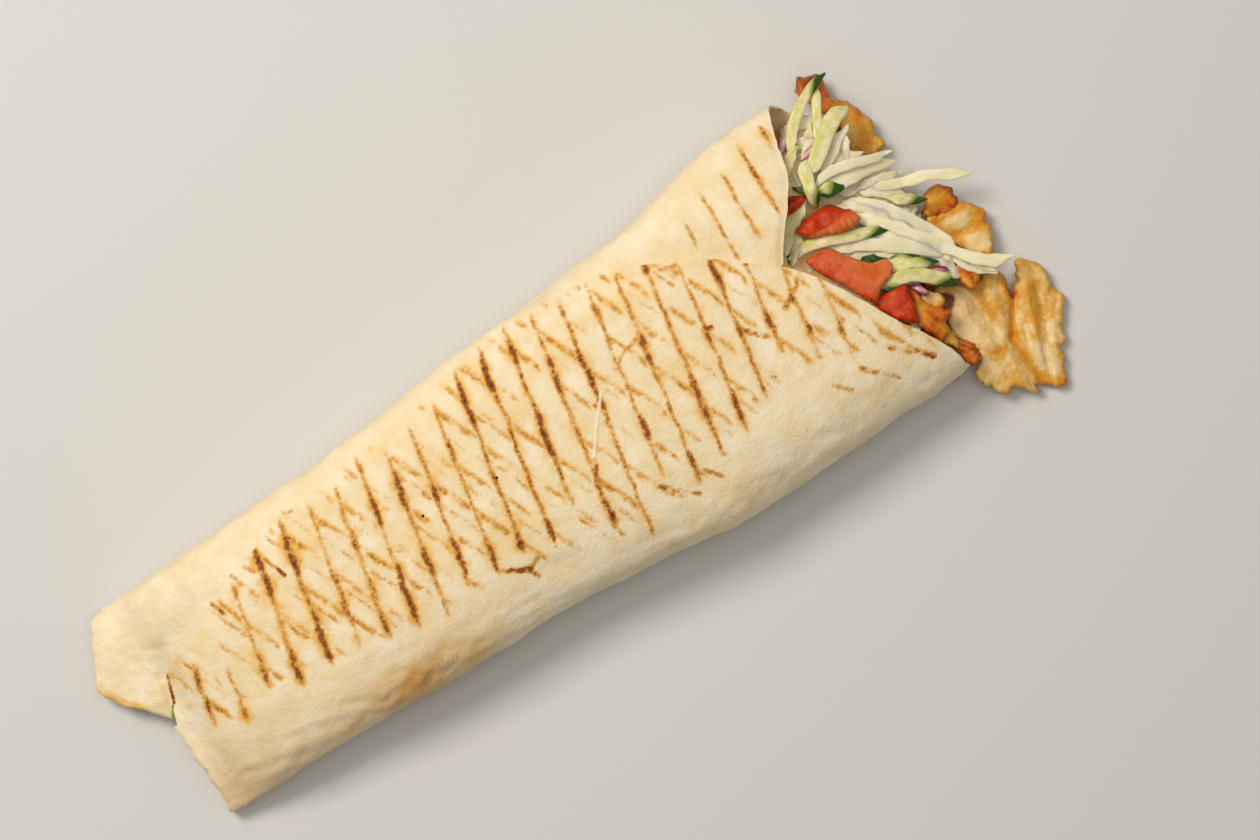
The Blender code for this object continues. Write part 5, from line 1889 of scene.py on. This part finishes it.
@dataclass
class HangingChicken:
    """The slices of roast chicken that hang out of the mouth."""

    slices: tuple = (
        Slice("chicken_slice_1", (
            (117.8, 55.5), (118.6, 58), (120, 59.4), (121.5, 60), (123.5, 58.8),
            (127, 57.3), (127, 54), (126.3, 50), (127.5, 47.5), (130, 45.5), (131.5, 42.5),
            (132.2, 39), (133.3, 36), (133, 33), (132.3, 31), (132.8, 27), (129, 25.5),
            (124, 27), (119.5, 28.5), (121, 33), (124, 38), (122, 44), (120, 50)),
            3.6, 4.6, (-0.08, 0.0), 75.0, 0.45, 0.37,
            (StainAndShade((121, 58), (124, 56), 4.5, 0.42), StainAndShade((124, 52), (123, 48), 4.0, 0.2),
             StainAndShade((128, 44), (130, 40), 3.0, 0.06), StainAndShade((127, 30), (131, 28), 4.0, -0.02),
             StainAndShade((124, 35), (126, 40), 3.0, -0.08))),
        Slice("chicken_slice_2", (
            (130.6, 2.4), (133.4, 4.2), (134.6, 6.6), (138.4, 7.4), (141.4, 6.2), (142.8, 4),
            (142.4, 1), (142.2, -1.6), (137, -2.2), (133, -1.4), (131, 0)),
            6.8, 2.8, (-0.15, 0.0), 20.0, 0.8, 0.50,
            (StainAndShade((132, -1), (142, -1), 1.4, 0.3), StainAndShade((142, 5), (142.6, 0), 1.2, 0.2))),
        Slice("chicken_slice_3", (
            (131, 0.5), (135, -0.5), (142, -1.5), (145.5, -3.5), (147, -6), (147.8, -8.5),
            (146.8, -11), (147, -14), (145.5, -17), (142, -22), (138, -18.5),
            (134.5, -14), (132, -9), (130.5, -4)),
            2.8, 5.4, (-0.10, 0.02), 5.0, 0.3, 0.33,
            # The paler marks at (137, -5) and (139.5, -14.5) sit on the raised lumps as painted
            # highlight; the darker mark from (134, -9.5) to (145, -11) follows the groove as painted
            # shade.
            (StainAndShade((137, -5), (139, -6), 3.4, -0.38), StainAndShade((139.5, -14.5), (142, -16), 4.0, -0.36),
             StainAndShade((133, -2), (141, -2), 1.6, 0.24), StainAndShade((134, -9.5), (145, -11), 1.5, 0.22),
             StainAndShade((146, -5), (146.5, -12), 1.8, 0.15), StainAndShade((133, -4), (133, -12), 1.6, 0.14)),
            (StainAndShade((137, -5), (139, -6), 3.2, 0.6), StainAndShade((139.5, -14), (142, -16), 3.4, 0.6),
             StainAndShade((134, -9.8), (145, -11), 1.2, -0.8))),
        Slice("chicken_slice_4", (
            (118, -33), (119, -30), (122.5, -28), (124, -25.5), (120, -20), (125, -21.5),
            (128, -23), (131, -25.5), (134, -25.5), (137, -24), (139.5, -25.5),
            (141.5, -28), (141, -32), (140.5, -36), (142.5, -34), (145, -31),
            (146.3, -28), (148, -27), (150, -28), (152, -30), (153.5, -33),
            (153.8, -37), (153, -40), (154.3, -45), (152.5, -48), (149.5, -52),
            (147, -57), (145, -58), (143.5, -62), (140, -69.3), (137.5, -69),
            (134.5, -66), (132, -64.5), (131.5, -66.5), (129, -65), (126.5, -62),
            (124.5, -60.8), (122.5, -61.8), (120, -59.5), (119, -56.5), (117.5, -55.5),
            (116.8, -50), (119, -48.5), (122, -45.5), (120, -43), (119, -40),
            (117.8, -36)),
            2.6, 4.6, (-0.12, 0.07), (125.0, -92.0), 0.9, 0.18,
            # The mark from (138, -54) to (139, -64) is paler as a painted highlight along the right
            # lobe; the one from (122, -23) to (128, -26) is paler as painted light where the
            # cucumber shades the slice.
            (StainAndShade((121, -30), (124, -42), 4.5, -0.2), StainAndShade((138, -54), (139, -64), 3.0, -0.3),
             StainAndShade((121, -49), (123.5, -55), 3.0, -0.22), StainAndShade((122, -23), (128, -26), 3.0, -0.1),
             # The marks from (141, -36) to (133.5, -47) and from (133.5, -48) to (134, -65) darken
             # the two grooves as painted shade.
             StainAndShade((141, -36), (133.5, -47), 0.9, 0.34), StainAndShade((146, -36), (141, -50), 1.0, 0.2),
             StainAndShade((133.5, -48), (134, -65), 0.9, 0.26),
             StainAndShade((131.5, -28), (131, -40), 1.4, 0.14),
             StainAndShade((132, -26), (132.5, -41), 1.6, 0.16), StainAndShade((127, -48), (129.5, -48.5), 1.8, 0.4),
             StainAndShade((127, -29), (129, -43), 2.8, -0.14),
             StainAndShade((136, -66), (140, -68), 3.0, 0.25), StainAndShade((120, -52), (127, -62), 3.0, 0.1),
             StainAndShade((144, -34), (148, -46), 2.2, 0.12), StainAndShade((119, -40), (123, -46), 2.0, 0.04),
             StainAndShade((140, -30), (141, -36), 1.6, 0.3)),
            (StainAndShade((141, -36), (133.5, -47), 1.3, -2.0), StainAndShade((133.5, -47), (134, -65), 1.3, -1.5),
             StainAndShade((149, -37), (143, -54), 1.0, -1.1), StainAndShade((124, -30), (126, -44), 3.0, 0.8),
             StainAndShade((145, -44), (138, -60), 0.9, -0.9), StainAndShade((129.5, -30), (130, -44), 1.0, -0.8),
             StainAndShade((136, -28), (133, -44), 2.2, 0.7), StainAndShade((146, -36), (138, -58), 2.2, 0.9))),
        Slice("chicken_slice_5", (
            (129.4, -18), (133, -18), (134.8, -20.4), (135, -25.6), (132.6, -27),
            (129.6, -26), (129, -21.4)),
            12.4, 1.8, (0.0, 0.05), -80.0, 0.9, 0.56,
            (StainAndShade((132, -19), (133, -25), 0.9, 0.2), StainAndShade((130.5, -22), (131, -25), 0.9, -0.2))),
        Slice("chicken_slice_6", (
            (110, -26), (112.4, -21), (113.4, -16.2), (115.4, -16.6), (115.8, -20),
            (117.5, -24.5), (120.6, -27.5), (121.4, -30), (118, -31.6), (117.4, -34.5),
            (114, -36), (111.6, -31)),
            15.0, 4.6, (-0.2, 0.0), -75.0, 1.0, 0.52,
            (StainAndShade((114.5, -17), (112.5, -26), 1.4, -0.1), StainAndShade((113, -28), (119, -30), 2.0, 0.18),
             StainAndShade((112, -31), (114.5, -35), 2.0, 0.1))),
        Slice("chicken_slice_7", (
            (115.8, -39.4), (118.6, -40), (120.4, -43), (122.4, -46.6), (119.5, -48.2),
            (117, -46)),
            11.4, 3.2, (-0.1, 0.0), -60.0, 0.8, 0.72),
    )

    def build(self) -> None:
        """Build each slice in place of its plain solid."""
        look = RoastChicken().make()
        for number, piece in enumerate(self.slices):
            parts = Parts()
            piece.add_to(parts, 100 + 7 * number)
            made = parts.build(piece.name + "_meat", look, "roast_chicken")
            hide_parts(piece.name)


@dataclass(frozen=True)
class FlakeGroup:
    """Loose flakes of chicken: how many, and the least and most of each of their sizes."""

    count: int
    x: tuple
    y: tuple
    size: tuple
    low: tuple
    lean: float
    tone: tuple


@dataclass
class ShavedChicken:
    """The shaved chicken under the salad, from end to end of the roll."""

    filling: Filling
    core_steps: tuple = (-143, -130, -105, -80, -50, -20, 10, 40, 65, 84)
    end_x: float = 114.0
    drop_at_end: float = 0.4
    flakes: tuple = (
        FlakeGroup(60, (104, 125), (-44, 42), (3.2, 6.5), (1.0, 12.5), 0.22, (0.35, 0.8)),
        FlakeGroup(30, (106, 116), (-46, -20), (4.0, 7.5), (6.0, 11.0), 0.10, (0.45, 0.75)),
    )
    laid: tuple = (
        Slice("pale_flake", (
            (115.3, -20.5), (118, -19.4), (121, -21.5), (121.8, -25), (119.5, -27.8),
            (117, -27.5), (115.5, -24.5)), 15.6, 2.6, (-0.1, 0.0), -60.0, 0.8, 0.14,
            (StainAndShade((116, -27), (121, -26), 1.2, 0.25),)),
        Slice("golden_flake", (
            (112.4, -33.6), (116, -33), (118.2, -35), (118.4, -38.5), (116.5, -40.4),
            (114.5, -38)), 13.6, 3.0, (-0.1, 0.0), -50.0, 0.9, 0.24,
            (StainAndShade((117.5, -34), (118, -38), 1.2, 0.25),)),
        Slice("orange_flake", (
            (113, -14.6), (115.2, -15.6), (115.6, -19), (114.8, -24), (113.6, -28.4),
            (111, -29), (110.4, -26.4), (112.6, -21)),
            18.4, 3.4, (-0.1, 0.0), -75.0, 0.9, 0.56,
            (StainAndShade((113, -15), (115, -16), 1.5, 0.2),)),
        # Painted shadow: this flake, near black and laid low, stands for the shade in the gap
        # between the slices.
        Slice("gap_shadow_flake", (
            (117, -20), (122, -19), (126, -22), (125, -29), (121, -32), (117, -30)),
            5.0, 3.0, (-0.1, 0.0), -60.0, 0.6, 0.95),
        Slice("brown_flake", (
            (119, -14), (124, -13), (128.5, -15), (129, -19), (124, -20), (118, -19)),
            10.0, 3.0, (-0.1, 0.0), 10.0, 0.8, 0.8),
        Slice("under_flake", (
            (112, -37), (116, -36), (121, -40), (122, -44), (118, -47), (114, -45)),
            7.6, 3.6, (-0.1, 0.0), -50.0, 0.8, 0.6),
    )

    def build(self) -> None:
        """Build the chicken in place of its plain solid."""
        look = RoastChicken("shaved_chicken_thigh").make()
        parts = Parts()
        rings = []
        for x in (*self.core_steps, *np.arange(86.0, self.end_x, 1.0)):
            y = self.filling.across(x, 60)
            low, high = self.filling.inside(x, y)
            swell = soft_noise(x, y, 6.0, 71) * 1.2 + soft_noise(x, y, 2.6, 72) * 0.6
            top = np.clip(self.filling.chicken(x) + swell, low + 1.5, high - 2.0)
            side = np.minimum(y - y[0], y[-1] - y)
            round_off = np.sqrt(1 - (1 - np.clip(side / 4.0, 0, 1)) ** 2)
            top = low + (top - low) * np.maximum(round_off, 0.1)
            ring_y = np.concatenate([y, y[-2:0:-1]])
            ring_z = np.concatenate([top, low[-2:0:-1]])
            rings.append(np.stack([np.full(len(ring_y), x), ring_y, ring_z], axis=1)[::-1])
        rings = np.array(rings)
        loft(parts, rings, along=rings[..., 0].ravel(), across=rings[..., 1].ravel(),
             tone=0.45, edge=5.0)
        for group in self.flakes:
            self.add_flakes(parts, group)
        for number, flake in enumerate(self.laid):
            flake.add_to(parts, 600 + 7 * number)
        made = parts.build("shaved_chicken_bed", look, "shaved_chicken")
        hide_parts("doner_meat")

    def add_flakes(self, parts: Parts, group: FlakeGroup) -> None:
        """Add one group of loose flakes."""
        chance = np.random.default_rng(group.count)
        for number in range(group.count):
            x = chance.uniform(*group.x)
            y = chance.uniform(*group.y)
            size = chance.uniform(*group.size)
            turn = np.sort(chance.uniform(0.0, 2 * math.pi, 9))
            reach = size * chance.uniform(0.65, 1.15, 9)
            outline = np.stack([x + np.cos(turn) * reach,
                                y + np.sin(turn) * reach * 0.7], axis=1)
            low = chance.uniform(*group.low)
            low = min(low, group.low[1] - self.drop_at_end * max(x - group.x[0], 0.0))
            cut = Cut(outline, 1.0, 0.4, 1.6, 300 + number + group.count)
            px, py = cut.plan.T
            lean = chance.normal(0.0, group.lean, 2)
            height = low + lean[0] * (px - x) + lean[1] * (py - y)
            way = chance.uniform(0.0, math.pi)
            along = px * math.cos(way) + py * math.sin(way)
            across = py * math.cos(way) - px * math.sin(way)
            relief = soft_noise(along / 5.0, across, 2.0, 400 + number) * 0.5
            cut.slab(parts, np.maximum(height, 0.4), np.full(len(px), 2.4), 1.1, relief,
                     along=along, across=across + number * 9.0,
                     tone=chance.uniform(*group.tone))


# ---------------------------------------------------------------- tomato


@dataclass(frozen=True)
class Wedge:
    """One piece of tomato: its outline in the plan, and where it was cut.

    cut_from and cut_to are two places on the edge between the skin, to the left of the
    way from the one to the other, and the flesh; blend is how gradual the change is and
    furrowed how clear the flesh's streaks are. tone runs from orange skin to deep red.
    """

    name: str
    outline: tuple
    low: float
    thick: float
    lean: tuple
    cut_from: tuple
    cut_to: tuple
    tone: float
    blend: float = 1.0
    furrowed: float = 1.0


@dataclass
class TomatoWedges:
    """The pieces of tomato that lie on the salad in the mouth."""

    wedges: tuple = (
        Wedge("tomato_piece_1", (
            (93, 25), (95, 27.5), (97.5, 29.6), (100, 28.6), (102.5, 26.5), (98, 24.6)),
            28.0, 3.4, (-0.10, 0.0), (90, 21), (104, 22), 0.6),
        Wedge("tomato_piece_2", (
            (93.5, 18.5), (96, 20), (101, 20.9), (107, 20.7), (109, 18.6), (110.6, 16.6),
            (112.4, 15.3), (113.4, 11), (107, 10.2), (101, 12.5), (96, 15)),
            24.6, 5.0, (-0.12, 0.0), (94, 15.6), (113, 13.4), 0.45),
        Wedge("tomato_piece_3", (
            (91, 9.2), (94, 9.8), (97, 9.6), (100, 8.5), (103, 4), (106, 0), (108.5, -2.5),
            (113, -4), (113.5, -7), (111.5, -9.5), (107, -11), (104.5, -13.4), (102.2, -14),
            (97, -4), (93, 3)),
            24.0, 6.0, (-0.12, 0.02), (105.5, -14), (99.5, 8.5), 0.14, 7.0, 0.15),
        Wedge("tomato_piece_4", (
            (102, -12.4), (105, -12.6), (108, -13), (113.8, -14), (113.6, -18),
            (112, -24), (110.5, -26.8), (107, -24), (103.4, -19)),
            21.8, 4.6, (-0.12, 0.0), (117, -28), (120, -13), 0.5),
    )

    def build(self) -> None:
        """Build each piece in place of its plain solid."""
        look = CutTomato().make()
        for number, wedge in enumerate(self.wedges):
            seed = 200 + 7 * number
            cut = Cut(wedge.outline, 0.6, 0.12, 2.0, seed)
            x, y = cut.plan.T
            run = np.array(wedge.cut_to, float) - np.array(wedge.cut_from, float)
            run /= np.linalg.norm(run)
            off = (x - wedge.cut_from[0]) * -run[1] + (y - wedge.cut_from[1]) * run[0]
            share = ease(0.5 - off / wedge.blend)
            middle = np.mean(np.array(wedge.outline), axis=0)
            low = (wedge.low + wedge.lean[0] * (x - middle[0])
                   + wedge.lean[1] * (y - middle[1]))
            along = off
            across = (x - wedge.cut_from[0]) * run[0] + (y - wedge.cut_from[1]) * run[1]
            # The cut face falls away from the crest between it and the skin.
            relief = -0.28 * np.maximum(-off, 0.0) - 0.06 * np.maximum(off, 0.0)
            relief += share * soft_noise(across, off / 5.0, 1.2, seed + 3) * 0.22 * wedge.furrowed
            relief += soft_noise(x, y, 3.0, seed + 4) * 0.28
            parts = Parts()
            cut.slab(parts, low, np.full(len(x), wedge.thick), 2.2, relief, cut=share,
                     along=along, across=across + seed, tone=wedge.tone,
                     furrowed=wedge.furrowed)
            made = parts.build(wedge.name + "_wedge", look, "tomato_flesh")
            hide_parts(wedge.name)


# ---------------------------------------------------------------- crumbs


@dataclass
class Crumbs:
    """Burnt crumbs on the bread, and the bit of green at the closed end."""

    roll: Roll
    places: tuple = ((-28.5, 5.0, 0.75), (-27.4, 5.6, 0.5), (5.0, 16.0, 0.55),
                     (-54.5, 7.5, 0.5), (93.5, -27.5, 0.55), (-147.5, -24.0, 0.45),
                     (-33.0, 3.0, 0.3), (62.0, -16.0, 0.3))
    green: tuple = ((-159.7, -3.8, 10.3), (-158.8, -2.4, 11.0), (-157.6, -0.8, 11.5),
                    (-156.8, 0.8, 11.9))

    def build(self) -> None:
        """Build the crumbs."""
        parts = Parts()
        for number, (x, y, size) in enumerate(self.places):
            across = y / float(self.roll.half_plus(x) if y > 0 else self.roll.half_minus(x))
            top = float(self.roll.heights(x, np.array([across]))[2][0])
            steps = np.linspace(0.0, math.pi, 7)
            rings = []
            for step in steps:
                turn = np.linspace(0, 2 * math.pi, 9, endpoint=False)
                out = max(math.sin(step), 0.15) * size
                out = out * (1 + 0.35 * soft_noise(turn, step * 3, 0.9, 500 + number))
                rings.append(np.stack([x + out * np.cos(turn) * 1.2, y + out * np.sin(turn),
                                       np.full(9, top - 0.2 - size * 0.7 * math.cos(step))],
                                      axis=1))
            loft(parts, rings)
        parts.build("burnt_crumbs", BurntCrumb().make(), "toasted_flatbread")
        green = Parts()
        path = smooth_path(np.array(self.green), 20)
        width = np.full(len(path), 1.7)
        ribbon(green, path, width, width * 0.5, 0.0, 10, 3.0, tone=0.5, peel=-0.2)
        green.build("green_sliver", SlicedCucumber().make(), "mixed_salad")


# ---------------------------------------------------------------- the studio


@dataclass(frozen=True)
class Studio:
    """A pale floor, soft light from one side, and a camera that looks straight down."""

    view_turn: float = -33.0
    lens: float = 85.0
    floor: str = "d2d4d6"
    lamp: str = "fff5e6"

    def build(self) -> None:
        """Add the floor, the lights and the camera."""
        scene = bpy.context.scene
        scene.view_settings.view_transform = "Standard"
        mesh = bpy.data.meshes.new("floor")
        size = 1.5
        mesh.from_pydata([(-size, -size, -0.0002), (size, -size, -0.0002),
                          (size, size, -0.0002), (-size, size, -0.0002)], [], [(0, 1, 2, 3)])
        floor = bpy.data.objects.new("floor", mesh)
        made, shader, _ = new_material("pale_paper_floor", 0.9)
        shader.inputs["Base Color"].default_value = colour(self.floor)
        mesh.materials.append(made)
        scene.collection.objects.link(floor)
        self.light("key_light", (-0.25, 0.80, 1.15), 0.5, 14.0)
        self.light("top_light", (0.15, 0.1, 1.6), 1.0, 6.0)
        world = bpy.data.worlds.new("soft_room")
        world.use_nodes = True
        world.node_tree.nodes["Background"].inputs[0].default_value = colour("fffaf2")
        world.node_tree.nodes["Background"].inputs[1].default_value = 0.26
        scene.world = world
        eye = bpy.data.cameras.new("camera")
        eye.lens = self.lens
        camera = bpy.data.objects.new("camera", eye)
        camera.location = Vector(to_metres([(EYE.x, EYE.y, EYE.height)])[0])
        camera.rotation_euler = (0.0, 0.0, math.radians(self.view_turn))
        scene.collection.objects.link(camera)
        scene.camera = camera

    def light(self, name: str, place: tuple, size: float, power: float) -> None:
        """Add a square soft light that faces the middle of the wrap."""
        data = bpy.data.lights.new(name, "AREA")
        data.shape = "SQUARE"
        data.size = size
        data.energy = power
        data.color = colour(self.lamp)[:3]
        lamp = bpy.data.objects.new(name, data)
        lamp.location = place
        lamp.rotation_euler = Vector(place).to_track_quat("Z", "Y").to_euler()
        bpy.context.scene.collection.objects.link(lamp)


def main() -> None:
    """Build the wrap and the studio round it, piece by piece."""
    logging.basicConfig(level=logging.INFO, format="%(name)s %(message)s")
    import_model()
    Studio().build()
    roll = Roll()
    filling = Filling(roll)
    Flatbread(roll).build(ToastedFlatbread().make())
    ShavedChicken(filling).build()
    Salad(filling).build()
    HangingChicken().build()
    TomatoWedges().build()
    Crumbs(roll).build()


if __name__ == "__main__":
    main()
